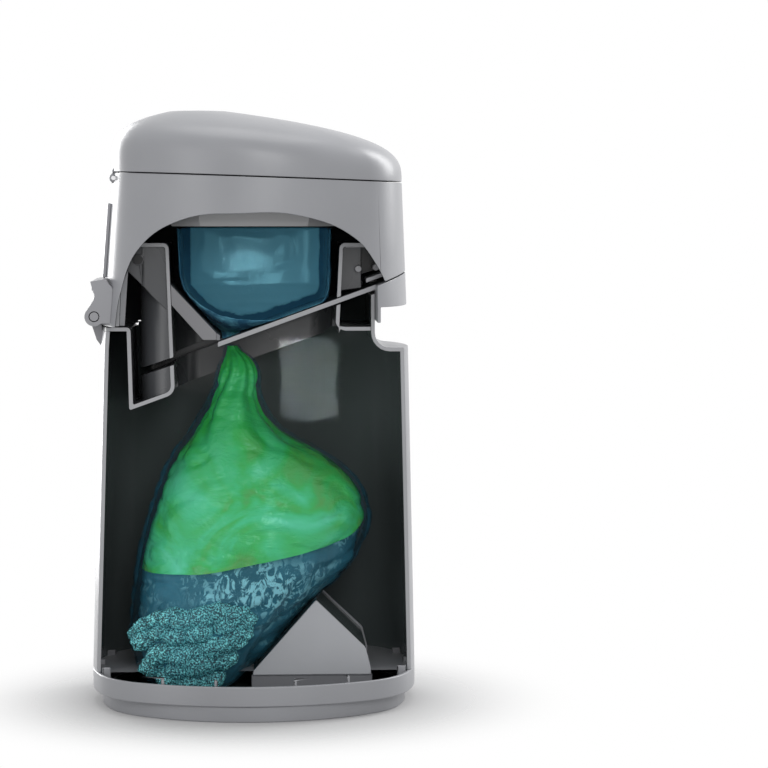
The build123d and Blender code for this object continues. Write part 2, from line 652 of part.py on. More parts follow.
def pull_handle():
    """Grip across the front, flush with the casing, open underneath for the fingers."""
    outer = casing(RIM_TOP - 20, RIM_TOP + 60)
    inner = casing(RIM_TOP - 20, RIM_TOP + 60, WALL + 1.2)
    skirt_front = HANDLE_BACK + SKIRT_THICKNESS
    body_points = [
        (HANDLE_BACK, HANDLE_BOTTOM),
        (REACH, HANDLE_BOTTOM),
        (REACH, gate_height(REACH)),
        (HANDLE_BACK, gate_height(HANDLE_BACK)),
    ]
    hollow_points = [
        (skirt_front, HANDLE_BOTTOM - 1),
        (REACH, HANDLE_BOTTOM - 1),
        (REACH, gate_height(REACH, GATE_THICKNESS)),
        (skirt_front, gate_height(skirt_front, GATE_THICKNESS)),
    ]
    grip = (outer & prism(body_points, -REACH, REACH)) - (inner & prism(hollow_points, -REACH, REACH))
    skirt = outer & block(HANDLE_BACK, skirt_front, -REACH, REACH, SKIRT_BOTTOM, HANDLE_BOTTOM + 1)
    socket = gate_band(
        0, HANDLE_BACK + TONGUE + FIT, -1, GATE_THICKNESS, CUT_PLANE - FIT, TONGUE_HALF_WIDTH + FIT
    )
    return grip + skirt - socket


def handle_screws():
    head = 1.8
    along = (HANDLE_BACK + TONGUE / 2 + 1.0 - GATE_REAR) / math.cos(math.radians(GATE_ANGLE))
    under = -(GATE_THICKNESS + head) / 2
    return [gate_axis() * Pos(along, y, under) * Cylinder(SCREW_RADIUS, head) for y in (-22.0, 2.0, 26.0)]


# ---- cassette and films -------------------------------------------------------------------------
def octagon(half, chamfer_by):
    return chamfer(Rectangle(2 * half, 2 * half).vertices(), chamfer_by)


def octagon_ring(outer, inner, bottom, top):
    ring = octagon(outer, CASSETTE_CHAMFER) - octagon(inner, CASSETTE_CHAMFER * inner / outer)
    return Pos(Z=bottom) * extrude(ring, top - bottom)


def head_deck():
    """Shelf under the lid on which the cassette hangs."""
    plate = casing(DECK_TOP - DECK_THICKNESS, DECK_TOP, WALL + FIT)
    hole = Pos(Z=DECK_TOP - 10) * extrude(octagon(CASSETTE_HALF + RUN, CASSETTE_CHAMFER), 20)
    return plate - hole


def cassette_tray():
    """Refill ring: a channel that holds the folded film, with a rim that rests on the deck."""
    wall = CASSETTE_WALL
    ring = octagon_ring(CASSETTE_HALF, CASSETTE_HOLE, CASSETTE_BOTTOM, CASSETTE_TOP)
    ring -= octagon_ring(CASSETTE_HALF - wall, CASSETTE_HOLE + wall, CASSETTE_BOTTOM + wall, CASSETTE_TOP + 1)
    return ring + octagon_ring(CASSETTE_HALF + CASSETTE_RIM, CASSETTE_HALF - wall, DECK_TOP, DECK_TOP + wall)


def film_pack():
    """Pleated film waiting in the cassette's channel."""
    step = (CASSETTE_TOP - CASSETTE_BOTTOM - 5.0) / PLEATS
    low = CASSETTE_BOTTOM + CASSETTE_WALL + FIT
    inset = CASSETTE_WALL + FILM
    pack = octagon_ring(CASSETTE_HALF - inset, CASSETTE_HOLE + inset, low, low + step * PLEATS)
    for i in range(PLEATS):
        z = low + (i + 0.7) * step
        pack -= octagon_ring(CASSETTE_HALF, CASSETTE_HALF - inset - 1.4, z, z + step * 0.3)
    return pack


def film_funnel(inset):
    sections = []
    for height, rear, front, half_width in THROAT_FILM:
        length, width = front - rear - 2 * inset, 2 * (half_width - inset)
        shape = RectangleRounded(length, width, 0.32 * min(length, width))
        sections.append(Pos((rear + front) / 2, 0, height) * shape)
    return loft(sections, ruled=True)


def throat_film():
    """Film pulled down from the cassette and gathered at the gate."""
    return cut_open(film_funnel(0) - film_funnel(FILM))


def bag_form(inset, low=None, high=None):
    sections = []
    for height, rear, front, half_depth in BAG:
        length, depth = front - rear - 2 * inset, 2 * (half_depth - inset)
        z = height + inset if height == BAG[0][0] else height
        z = height - inset if height == BAG[-1][0] else z
        sections.append(Pos((rear + front) / 2, 0, z) * Ellipse(length / 2, depth / 2))
    return loft(sections, ruled=True)


def clear_of_wedge():
    return prism(wedge_outline(FILM_GAP), CUT_PLANE - FILM_GAP, WEDGE_FAR + FILM_GAP)


def bag_film():
    """Outer film of the bag that hangs from the gate and rests on the floor."""
    shell = bag_form(0) - bag_form(FILM)
    return shell - clear_of_wedge()


def soiled_load():
    """Tinted inner bag in the upper part, above the fresh clumps."""
    load = bag_form(FILM + FILM_GAP) - clear_of_wedge()
    lower_edge = [(-REACH, 78.0), (-70.0, 97.0), (0.0, 97.0), (88.5, 136.0), (REACH, 300.0)]
    return load & prism(lower_edge + [(REACH, REACH), (-REACH, REACH)], -REACH, REACH)


def litter_heap():
    """Clumps of used litter at the bottom of the bag."""
    load = bag_form(FILM + FILM_GAP) - prism(wedge_outline(2 * FILM_GAP + FILM), -REACH, REACH)
    upper_edge = [(REACH, 30.0), (10.0, 58.0), (-60.0, 72.0), (-REACH, 72.0)]
    return load & prism([(-REACH, 0), (REACH, 0)] + upper_edge, -REACH, REACH)


# ---- lid ----------------------------------------------------------------------------------------
def dome(inset, top):
    """The lid's dome: level sections that close in faster and faster towards the top."""
    steps = 10
    rear_drop, front_drop, side_drop = 41.0, 126.0, 60.0
    sections = [Pos(Z=LID_BASE - 20) * plan(*section(LID_BASE), inset)]
    for i in range(steps + 1):
        share = math.sin(math.pi / 2 * i / steps)
        rear = TOP_REAR + rear_drop * share**5.5
        front = TOP_FRONT - front_drop * share**3
        half_width = TOP_HALF_WIDTH - side_drop * share**4.5
        height = LID_BASE + (top - LID_BASE) * share
        sections.append(Pos(Z=height) * dome_plan(rear, front, half_width, inset))
    return loft(sections, ruled=True)


def dome_plan(rear, front, half_width, inset):
    """A level section of the dome: the outline at the seam in small, made wider or narrower."""
    half = (front - rear) / 2
    half_at_seam = half * 2 * TOP_HALF_WIDTH / (TOP_FRONT - TOP_REAR)
    outline = plan(-half, half, half_at_seam, inset)
    return Pos((front + rear) / 2, 0) * scale(outline, by=(1, half_width / half_at_seam, 1))


def lid_shell():
    shell = dome(0, LID_TOP) - dome(LID_WALL, LID_TOP - LID_WALL)
    shell -= under_seam(-PARTING_GAP / 2)
    half, root_top = LID_KNUCKLE_WIDTH / 2, seam_height(LID_PIN_X) + 2.5
    root = [
        block(LID_PIN_X - 1.2, LID_PIN_X + 1.4, y - half, y + half, LID_PIN_Z, root_top) for y in LID_KNUCKLES
    ]
    shell = shell - lid_knuckles(HEAD_KNUCKLES, RUN) + lid_knuckles(LID_KNUCKLES) + root
    return shell - lid_pin_hole()


def lid_gasket():
    """Soft ring inside the lid that closes on the head."""
    ring = dome(LID_WALL + FIT, LID_TOP - LID_WALL - FIT) - dome(LID_WALL + GASKET_WIDTH, LID_TOP)
    low, high = 1.0, 1.0 + GASKET_WIDTH
    band_points = [
        (GASKET_REAR, seam_height(GASKET_REAR) + low),
        (REACH, seam_height(REACH) + low),
        (REACH, seam_height(REACH) + high),
        (GASKET_REAR, seam_height(GASKET_REAR) + high),
    ]
    return ring & prism(band_points, -REACH, REACH)


def lid_pin():
    return rod(LID_PIN_X, LID_PIN_Z, LID_PIN_RADIUS, -LID_PIN_HALF, LID_PIN_HALF)


save("base_pan", base_pan())
save("floor_wedge", floor_wedge())
save("barrel_shell", barrel_shell())
save("deck_ring", deck_ring())
save("hinge_lug", hinge_lug())
save("hinge_pin", hinge_pin())
save("bag_film", bag_film())
save("soiled_load", soiled_load())
save("litter_heap", litter_heap())
save("head_shell", head_shell())
save("hinge_strap", hinge_strap())
save("strap_screws", *strap_screws())
save("spine_cover", spine_cover())
save("throat_liner", throat_liner())
save("front_pegs", *front_pegs())
save("boss_screw", boss_screw())
save("rear_jaw", rear_jaw())
save("jaw_lip", jaw_lip())
save("gate_rail", gate_rail())
save("gate_spring", gate_spring())
save("gate_plate", gate_plate())
save("pull_handle", pull_handle())
save("handle_screws", *handle_screws())
save("head_deck", head_deck())
save("cassette_tray", cassette_tray())
save("film_pack", film_pack())
save("throat_film", throat_film())
save("lid_shell", lid_shell())
save("lid_gasket", lid_gasket())
save("lid_pin", lid_pin())
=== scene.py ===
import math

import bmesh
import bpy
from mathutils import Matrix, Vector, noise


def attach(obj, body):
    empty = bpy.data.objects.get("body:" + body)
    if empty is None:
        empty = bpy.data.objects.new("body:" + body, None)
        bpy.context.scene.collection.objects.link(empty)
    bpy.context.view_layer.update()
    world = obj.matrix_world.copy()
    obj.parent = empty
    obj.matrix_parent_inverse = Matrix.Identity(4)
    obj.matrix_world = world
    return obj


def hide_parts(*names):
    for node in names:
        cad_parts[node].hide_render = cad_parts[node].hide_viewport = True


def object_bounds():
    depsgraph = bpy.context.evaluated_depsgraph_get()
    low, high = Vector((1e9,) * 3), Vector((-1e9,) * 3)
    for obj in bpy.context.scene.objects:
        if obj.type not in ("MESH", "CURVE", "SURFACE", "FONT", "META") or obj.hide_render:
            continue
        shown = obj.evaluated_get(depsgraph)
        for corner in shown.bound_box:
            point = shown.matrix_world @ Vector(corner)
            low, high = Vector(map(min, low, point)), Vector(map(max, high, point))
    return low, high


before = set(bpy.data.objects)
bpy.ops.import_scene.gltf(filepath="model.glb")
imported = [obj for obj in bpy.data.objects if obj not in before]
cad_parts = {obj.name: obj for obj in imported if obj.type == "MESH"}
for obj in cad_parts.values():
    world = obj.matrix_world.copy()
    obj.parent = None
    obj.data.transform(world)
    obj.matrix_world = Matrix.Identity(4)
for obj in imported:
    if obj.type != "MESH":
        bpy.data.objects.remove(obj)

# %% [markdown]
# # A litter disposal pail, cut open to show how it works
# The pail stands on the floor, 43 cm high. Its near side is cut away, so we look into the barrel with
# its hanging bag, and through an arch in the head at the throat, the film and the sliding gate.
# X runs to the front (the pull handle), Y away from the viewer, Z up. Sizes are written in
# millimetres and turned into Blender's metres by MM.

MM = 0.001
cad_low, cad_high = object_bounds()
print("CAD box", [round(v, 4) for v in cad_low], [round(v, 4) for v in cad_high])

# %% [markdown]
# The camera comes first. The pail was seen from two metres away with a long lens, level with the
# throat, so its base shows a shallow oval and its lid is seen almost edge on. The camera is turned a
# little, not shifted, so that other views stay centred on the pail.

# %% The camera
CAMERA_PLACE = Vector((0.0, -1.969, 0.3693))
CAMERA_YAW, CAMERA_PITCH = math.radians(2.777), math.radians(-3.965)
LENS, SENSOR = 125.3, 36.0

camera_data = bpy.data.cameras.new("camera")
camera_data.lens, camera_data.sensor_width = LENS, SENSOR
camera = bpy.data.objects.new("camera", camera_data)
camera.location = CAMERA_PLACE
camera.rotation_euler = (math.radians(90) + CAMERA_PITCH, 0, -CAMERA_YAW)
bpy.context.scene.collection.objects.link(camera)
bpy.context.scene.camera = camera
print("camera", camera.location[:], "lens", LENS)

# %% [markdown]
# The light is a plain white studio. The surround lights everything evenly, at the level where a
# colour renders about as it is written, and a front and a top panel give it form. Two tall panels
# stand behind the pail and draw the bright line along each side of the casing. A tall lamp on the
# left and a small square lamp beside the camera are what the glossy pieces mirror. Two narrow beams
# light a patch each: one on the film in the throat, one on the barrel's far wall.

# %% Light and surround
WORLD_LEVEL = 0.56
FILM_SPOT, WALL_SPOT = (-0.0054, 0.055, 0.3164), (0.042, 0.092, 0.230)
BEAM_SPREAD = math.radians(1.2)


def area_light(name, place, target, width, height, watts):
    data = bpy.data.lights.new(name, "AREA")
    data.shape, data.size, data.size_y, data.energy = "RECTANGLE", width, height, watts
    lamp = bpy.data.objects.new(name, data)
    lamp.location = place
    lamp.rotation_euler = (Vector(target) - Vector(place)).to_track_quat("-Z", "Y").to_euler()
    lamp.visible_camera = False
    bpy.context.scene.collection.objects.link(lamp)
    return lamp


middle = (cad_low + cad_high) / 2
LAMPS = [
    ("front_panel", (0.25, -1.7, 0.9), middle, 0.55, 0.7, 6.0),
    ("left_panel", (-0.9, 1.7, 0.5), middle, 0.9, 1.3, 22.0),
    ("right_panel", (1.0, 0.55, 0.85), middle, 0.5, 0.9, 11.0),
    ("top_panel", (0.0, 0.1, 1.6), middle, 1.0, 1.0, 6.0),
    ("tall_lamp", (-0.95, -1.1, 0.35), middle, 0.5, 0.9, 2.6),
    ("small_lamp", (-0.011, -2.0, 0.405), FILM_SPOT, 0.078, 0.072, 0.42),
]
BEAMS = [
    ("film_beam", (-0.0054, -0.45, 0.325), FILM_SPOT, 0.037, 0.04, 0.0001),
    ("wall_beam", (0.042, -0.45, 0.236), WALL_SPOT, 0.04, 0.06, 0.0065),
]
for lamp in LAMPS:
    area_light(*lamp)
for beam in BEAMS:
    area_light(*beam).data.spread = BEAM_SPREAD

# %% The white surround
world = bpy.data.worlds.new("studio")
bpy.context.scene.world = world
world.use_nodes = True
nodes, links = world.node_tree.nodes, world.node_tree.links
nodes.clear()
surround, backdrop = (nodes.new("ShaderNodeBackground") for _ in range(2))
for background, strength in ((surround, WORLD_LEVEL), (backdrop, 1.0)):
    background.inputs["Color"].default_value = (1, 1, 1, 1)
    background.inputs["Strength"].default_value = strength
rays, mix, out = (nodes.new(f"ShaderNode{kind}") for kind in ("LightPath", "MixShader", "OutputWorld"))
seen = rays.outputs["Is Camera Ray"]
for ray in ("Is Glossy Ray", "Is Transmission Ray"):
    either = nodes.new("ShaderNodeMath")
    either.operation = "MAXIMUM"
    links.new(seen, either.inputs[0])
    links.new(rays.outputs[ray], either.inputs[1])
    seen = either.outputs[0]
links.new(seen, mix.inputs[0])
links.new(surround.outputs[0], mix.inputs[1])
links.new(backdrop.outputs[0], mix.inputs[2])
links.new(mix.outputs[0], out.inputs[0])
bpy.context.scene.view_settings.view_transform = "Standard"

# %% [markdown]
# The floor is a grey disc that holds the pail's real shadow. Being grey near the pail and turning
# clear towards its edge, it also paints a soft shadow halo round the pail, and it fades into the
# white surround so that no horizon shows.

# %% The floor
FLOOR_RADIUS, FLOOR_FADE, FLOOR_WHITE = 0.4, 0.06, 0.25
FLOOR_HALO_GREY = (0.46, 0.46, 0.465, 1)


def set_inputs(node, values):
    for name, value in values.items():
        node.inputs[name].default_value = value


def floor_finish():
    made = bpy.data.materials.new("studio_floor")
    made.use_nodes = True
    tree = made.node_tree
    tree.nodes.clear()
    kinds = "TexCoord VectorMath MapRange BsdfTransparent BsdfDiffuse MixShader OutputMaterial"
    where, far, fade, clear, white, mixed, end = (tree.nodes.new(f"ShaderNode{k}") for k in kinds.split())
    far.operation = "LENGTH"
    fade.interpolation_type = "SMOOTHERSTEP"
    set_inputs(fade, {"From Min": FLOOR_FADE, "From Max": FLOOR_WHITE, "To Min": 1.0, "To Max": 0.0})
    # This grey, fading out with distance, is a painted shadow halo round the pail.
    white.inputs["Color"].default_value = FLOOR_HALO_GREY
    wires = [(where.outputs["Object"], far.inputs[0]), (far.outputs["Value"], fade.inputs["Value"])]
    wires += [(fade.outputs[0], mixed.inputs[0]), (clear.outputs[0], mixed.inputs[1])]
    wires += [(white.outputs[0], mixed.inputs[2]), (mixed.outputs[0], end.inputs[0])]
    for source, target in wires:
        tree.links.new(source, target)
    return made


disc = bmesh.new()
bmesh.ops.create_circle(disc, cap_ends=True, segments=96, radius=FLOOR_RADIUS)
floor_mesh = bpy.data.meshes.new("floor")
disc.to_mesh(floor_mesh)
disc.free()
floor = bpy.data.objects.new("floor", floor_mesh)
bpy.context.scene.collection.objects.link(floor)
floor_mesh.materials.append(floor_finish())
print("floor radius", FLOOR_RADIUS)

# %% [markdown]
# Every finish is built from a few nodes on Object coordinates, so that it stays on its piece when
# the pail opens. One helper makes the shader, another adds a fine relief to it.

# %% Material helpers
def material(name, color, roughness=0.45, metallic=0.0, coat=0.0, alpha=1.0, specular=0.5):
    made = bpy.data.materials.new(name)
    made.use_nodes = True
    shader = made.node_tree.nodes["Principled BSDF"]
    shader.inputs["Base Color"].default_value = (*color, 1)
    shader.inputs["Roughness"].default_value = roughness
    shader.inputs["Metallic"].default_value = metallic
    shader.inputs["Coat Weight"].default_value = coat
    shader.inputs["Coat Roughness"].default_value = 0.08
    shader.inputs["Alpha"].default_value = alpha
    shader.inputs["Specular IOR Level"].default_value = specular
    return made, shader


def add_node(made, kind, **values):
    node = made.node_tree.nodes.new(f"ShaderNode{kind}")
    for key, value in values.items():
        if hasattr(node, key):
            setattr(node, key, value)
        else:
            node.inputs[key.replace("_", " ")].default_value = value
    return node


def link(made, source, target):
    made.node_tree.links.new(source, target)


def object_noise(made, scale, detail=3.0, roughness=0.5, stretch=(1, 1, 1), distortion=0.0):
    """Noise on Object coordinates, stretched along an axis if asked."""
    where = add_node(made, "TexCoord")
    mapping = add_node(made, "Mapping")
    mapping.inputs["Scale"].default_value = stretch
    texture = add_node(made, "TexNoise", Scale=scale, Detail=detail)
    set_inputs(texture, {"Roughness": roughness, "Distortion": distortion})
    link(made, where.outputs["Object"], mapping.inputs["Vector"])
    link(made, mapping.outputs["Vector"], texture.inputs["Vector"])
    return texture.outputs["Fac"]


def ramp(made, source, stops):
    """Colours by the value of a source, from stops of a place and a colour."""
    node = add_node(made, "ValToRGB")
    elements = node.color_ramp.elements
    while len(elements) < len(stops):
        elements.new(0.5)
    for element, (place, color) in zip(elements, stops):
        element.position = place
        element.color = (*color, 1) if len(color) == 3 else color
    link(made, source, node.inputs["Fac"])
    return node.outputs["Color"]


def relief(made, shader, source, depth, strength=1.0, after=None):
    """A fine relief, laid over an earlier one if that is given."""
    bump = add_node(made, "Bump")
    bump.inputs["Strength"].default_value = strength
    bump.inputs["Distance"].default_value = depth
    link(made, source, bump.inputs["Height"])
    if after is not None:
        link(made, after.outputs["Normal"], bump.inputs["Normal"])
    link(made, bump.outputs["Normal"], shader.inputs["Normal"])
    return bump


# %% [markdown]
# The casing is satin moulded plastic in a cool mid grey. A mould leaves a very fine spark-eroded
# grain, and the sheen drifts a little over the surface. The same plastic is used for the inner
# mouldings, a touch lighter where it was cut. The near-black, dark grey and mid grey copies below,
# and the jaw's, are painted shade for the shadowed inside of the pail.

# %% Plastics
MOTTLE_SCALE, SHEEN_SCALE, GRAIN_SCALE, GRAIN_DEPTH = 9.0, 22.0, 1400.0, 0.00006


def moulded_plastic(name, color, roughness, grain=1.0, drift=0.05, coat=0.0):
    made, shader = material(name, color, roughness, coat=coat)
    darker = tuple(c * 0.94 for c in color)
    lighter = tuple(min(1, c * 1.05) for c in color)
    mottle = ramp(made, object_noise(made, MOTTLE_SCALE), [(0.35, darker), (0.65, lighter)])
    link(made, mottle, shader.inputs["Base Color"])
    low, high = roughness - drift, roughness + drift
    spread = ramp(made, object_noise(made, SHEEN_SCALE), [(0.3, (low,) * 3), (0.7, (high,) * 3)])
    link(made, spread, shader.inputs["Roughness"])
    relief(made, shader, object_noise(made, GRAIN_SCALE, detail=1.0), GRAIN_DEPTH * grain, 0.35)
    return made


casing_grey = moulded_plastic("casing_grey", (0.298, 0.303, 0.322), 0.34)
cut_grey = moulded_plastic("cut_grey", (0.36, 0.365, 0.38), 0.5, drift=0.03)
# A near-black glossy copy of the plastic: painted shade for the barrel's inside, the base's floor and the
# wedge's slope.
glossy_painted_shade = moulded_plastic("glossy_painted_shade", (0.098, 0.117, 0.119), 0.13, grain=0.3, drift=0.02)
# A dark copy of the plastic: painted shade for the shadowed inner mouldings, the head's inside and the gate.
dark_painted_shade = moulded_plastic("dark_painted_shade", (0.062, 0.065, 0.071), 0.28)
wedge_grey = moulded_plastic("wedge_grey", (0.43, 0.44, 0.465), 0.4)
# A darker copy for the jaw: painted shade in the throat.
jaw_painted_shade = moulded_plastic("jaw_painted_shade", (0.20, 0.2, 0.212), 0.4)
# A mid grey copy: painted shade in the base's rim, under the wedge and at the jaw's lip.
mid_painted_shade = moulded_plastic("mid_painted_shade", (0.17, 0.172, 0.186), 0.42)
hinge_grey = moulded_plastic("hinge_grey", (0.29, 0.292, 0.31), 0.36)
soft_black = moulded_plastic("soft_black", (0.015, 0.015, 0.016), 0.55)


def steel():
    made, shader = material("bright_steel", (0.55, 0.55, 0.56), 0.28, metallic=1.0)
    streaks = object_noise(made, 160.0, stretch=(1, 0.05, 1))
    link(made, ramp(made, streaks, [(0.3, (0.2,) * 3), (0.7, (0.38,) * 3)]), shader.inputs["Roughness"])
    return made


bright_steel = steel()
print("plastics", [m.name for m in bpy.data.materials])

# %% [markdown]
# The casings are carved from solid forms with Booleans, the way the real ones are designed: the
# outline seen from above is drawn once from eight arcs, stood up to a tapering solid, hollowed by
# the same form drawn one wall further in, and then cut to its side profile.

# %% Shaping helpers
BAND_TOP, WAIST, LID_BASE = 25.5, 262.0, 383.0
SECTIONS = {BAND_TOP: (-119.8, 118.0, 101.0), WAIST: (-112.6, 113.0, 97.5), LID_BASE: (-103.6, 108.3, 94.0)}
END_BOW, END_SWEEP, CORNER_BOW = 1.17, math.radians(19.0), 0.53
WALL, CUT_PLANE, REACH = 2.8, -35.0, 700.0
ARC_STEPS = 14


def section(height):
    """Rear, front and half width of the casing at a height."""
    low, high = (BAND_TOP, WAIST) if height <= WAIST else (WAIST, LID_BASE)
    share = (height - low) / (high - low)
    return tuple(a + (b - a) * share for a, b in zip(SECTIONS[low], SECTIONS[high]))


def arc_points(centre, radius, start, end, steps):
    turns = [start + (end - start) * i / steps for i in range(steps)]
    return [(centre[0] + radius * math.cos(t), centre[1] + radius * math.sin(t)) for t in turns]


def plan_points(rear, front, half_width, inset=0.0):
    """The casing's outline from above, as points along its eight tangent arcs."""
    half = (front - rear) / 2
    end_radius, corner_radius = END_BOW * half, CORNER_BOW * half
    reach = end_radius - corner_radius
    corner = (half - end_radius + reach * math.cos(END_SWEEP), reach * math.sin(END_SWEEP))
    spread = corner[0] ** 2 + (corner[1] - half_width) ** 2 - corner_radius**2
    side_radius = spread / (2 * (half_width - corner[1] - corner_radius))
    side_turn = math.atan2(corner[1] - half_width + side_radius, corner[0])
    quarter = arc_points((half - end_radius, 0), end_radius - inset, 0, END_SWEEP, ARC_STEPS // 2)
    quarter += arc_points(corner, corner_radius - inset, END_SWEEP, side_turn, ARC_STEPS)
    side_centre = (0, half_width - side_radius)
    quarter += arc_points(side_centre, side_radius - inset, side_turn, math.pi / 2, ARC_STEPS)
    half_ring = quarter + [(0, half_width - inset)] + [(-x, y) for x, y in reversed(quarter)]
    ring = half_ring + [(x, -y) for x, y in reversed(half_ring[1:-1])]
    centre = (front + rear) / 2
    return [(x + centre, y) for x, y in ring]


def loop_of(bm, points):
    """A closed loop of edges through points given in millimetres."""
    verts = [bm.verts.new(Vector(p) * MM) for p in points]
    return [bm.edges.new((a, b)) for a, b in zip(verts, verts[1:] + verts[:1])]


def solid_through(loops):
    """A closed mesh through level loops with as many points each, capped at both ends."""
    bm = bmesh.new()
    rings = [loop_of(bm, points) for points in loops]
    for below, above in zip(rings, rings[1:]):
        bmesh.ops.bridge_loops(bm, edges=below + above)
    bmesh.ops.contextual_create(bm, geom=rings[0])
    bmesh.ops.contextual_create(bm, geom=rings[-1])
    bmesh.ops.recalc_face_normals(bm, faces=bm.faces)
    return bm


def to_object(bm, name):
    mesh = bpy.data.meshes.new(name)
    bm.to_mesh(mesh)
    bm.free()
    made = bpy.data.objects.new(name, mesh)
    bpy.context.scene.collection.objects.link(made)
    return made


def casing(low, high, inset=0.0):
    """The tapering space inside the casing's outline between two heights."""
    heights = [low] + [z for z in (WAIST,) if low < z < high] + [high]
    loops = [[(*p, z) for p in plan_points(*section(z), inset)] for z in heights]
    return to_object(solid_through(loops), "casing")


def rounded(points, radii, steps=6):
    """A polygon's points with some corners turned into arcs."""
    radii = radii if isinstance(radii, (list, tuple)) else [radii] * len(points)
    line = []
    for i, (corner, radius) in enumerate(zip(points, radii)):
        here = Vector(corner)
        before, after = Vector(points[i - 1]) - here, Vector(points[(i + 1) % len(points)]) - here
        if radius <= 0:
            line.append(tuple(here))
            continue
        half = before.angle(after) / 2
        setback = radius / math.tan(half)
        start, end = here + before.normalized() * setback, here + after.normalized() * setback
        centre = here + (before.normalized() + after.normalized()).normalized() * radius / math.sin(half)
        sweep = (start - centre).angle_signed(end - centre)
        for k in range(steps + 1):
            line.append(tuple(centre + Matrix.Rotation(-sweep * k / steps, 2) @ (start - centre)))
    return line


def prism(points, near=-REACH, far=REACH, radii=0.0):
    """A solid between two depths, its outline given in X and Z."""
    bm = bmesh.new()
    outline = loop_of(bm, [(x, near, z) for x, z in rounded(points, radii)])
    face = bmesh.ops.contextual_create(bm, geom=outline)["faces"]
    side = bmesh.ops.extrude_face_region(bm, geom=face)["geom"]
    moved = [v for v in side if isinstance(v, bmesh.types.BMVert)]
    bmesh.ops.translate(bm, verts=moved, vec=(0, (far - near) * MM, 0))
    bmesh.ops.recalc_face_normals(bm, faces=bm.faces)
    return to_object(bm, "prism")


def block(x0, x1, y0, y1, z0, z1):
    return prism([(x0, z0), (x1, z0), (x1, z1), (x0, z1)], y0, y1)


def round_bar(turn_axis, centre, radius, length, segments):
    """An upright round bar laid down about an axis, its middle at a point in millimetres."""
    bm = bmesh.new()
    matrix = Matrix.Translation(Vector(centre) * MM) @ Matrix.Rotation(math.radians(90), 4, turn_axis)
    sizes = {"radius1": radius * MM, "radius2": radius * MM, "depth": length * MM}
    bmesh.ops.create_cone(bm, cap_ends=True, segments=segments, matrix=matrix, **sizes)
    return to_object(bm, "bar")


def rod(x, z, radius, near, far, segments=40):
    """A round bar that lies along Y, between two depths."""
    return round_bar("X", (x, (near + far) / 2, z), radius, far - near, segments)


def rod_along_x(y, z, radius, rear, front):
    return round_bar("Y", ((rear + front) / 2, y, z), radius, front - rear, 32)


def arc_corner(before, corner, after, radius, near, far):
    """The sliver between a sharp corner and the arc that rounds it, to cut off or to fill in."""
    here = Vector(corner)
    one, two = (Vector(before) - here).normalized(), (Vector(after) - here).normalized()
    half, middle_way = one.angle(two) / 2, (one + two).normalized()
    setback, centre = radius / math.tan(half), here + middle_way * radius / math.sin(half)
    outline = [centre, here + one * setback, here - middle_way * 0.6, here + two * setback]
    sliver = prism([tuple(point) for point in outline], near, far)
    return cut(sliver, rod(centre.x, centre.y, radius, near - 1, far + 1, 72))


def settle(piece):
    """Applies what modifiers a piece has."""
    evaluated = piece.evaluated_get(bpy.context.evaluated_depsgraph_get())
    mesh = bpy.data.meshes.new_from_object(evaluated)
    piece.modifiers.clear()
    old, piece.data = piece.data, mesh
    bpy.data.meshes.remove(old)
    return piece


def carve(piece, operation, *tools):
    for tool in tools:
        modifier = piece.modifiers.new("carve", "BOOLEAN")
        modifier.solver, modifier.operation, modifier.object = "EXACT", operation, tool
        settle(piece)
        bpy.data.objects.remove(tool)
    return piece


def cut(piece, *tools):
    return carve(piece, "DIFFERENCE", *tools)


def keep(piece, *tools):
    return carve(piece, "INTERSECT", *tools)


def join(piece, *tools):
    return carve(piece, "UNION", *tools)


def cut_open(piece):
    """Takes the near side of a piece away."""
    return cut(piece, block(-REACH, REACH, -REACH, CUT_PLANE, -REACH, 2 * REACH))


print("casing at the waist", section(WAIST), "mm, wall", WALL, "mm, cut at", CUT_PLANE, "mm")

# %% [markdown]
# Edges of moulded plastic are never knife sharp: a small radius catches a line of light, which is
# half of what makes a part look real. soften() rounds every edge sharper than a given angle, and
# then shades the rest smoothly. A piece with flat faces that have holes in them, such as a flange
# with a throat, is cut into triangles first, because the rounding can fill such a hole.

# %% Finishing helpers
WELD, FLAT_ANGLE, SHARP_ANGLE = 0.02, math.radians(0.5), math.radians(40)


def soften(piece, radius=0.6, segments=2, angle=32.0, simplify=True, triangles=False):
    bm = bmesh.new()
    bm.from_mesh(piece.data)
    bmesh.ops.remove_doubles(bm, verts=bm.verts, dist=WELD * MM)
    bmesh.ops.dissolve_degenerate(bm, dist=WELD * MM, edges=bm.edges)
    if simplify:
        bmesh.ops.dissolve_limit(bm, angle_limit=FLAT_ANGLE, verts=bm.verts, edges=bm.edges)
    if triangles:
        bmesh.ops.triangulate(bm, faces=bm.faces)
    bm.to_mesh(piece.data)
    bm.free()
    modifier = piece.modifiers.new("soften", "BEVEL")
    modifier.width, modifier.segments = radius * MM, segments
    modifier.limit_method, modifier.angle_limit = "ANGLE", math.radians(angle)
    modifier.use_clamp_overlap = False
    settle(piece)
    piece.data.shade_smooth()
    piece.data.set_sharp_from_angle(angle=SHARP_ANGLE)
    modifier = piece.modifiers.new("normals", "WEIGHTED_NORMAL")
    modifier.keep_sharp, modifier.weight = True, 80
    return settle(piece)


def place(piece, name, body, *nodes, slot=None):
    """Names a finished piece, lets it ride on its body and stand for its CAD nodes."""
    piece.name = piece.data.name = name
    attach(piece, body)
    if nodes:
        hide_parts(*nodes)
    print(name, len(piece.data.polygons), "faces")
    return piece


def finish_faces(piece, base, **others):
    """Gives a piece its main finish and, by a rule on each face, its other ones."""
    piece.data.materials.clear()
    piece.data.materials.append(base)
    for index, (made, rule) in enumerate(others.values(), start=1):
        piece.data.materials.append(made)
        for face in piece.data.polygons:
            if rule(face.center / MM, face.normal):
                face.material_index = index
    return piece


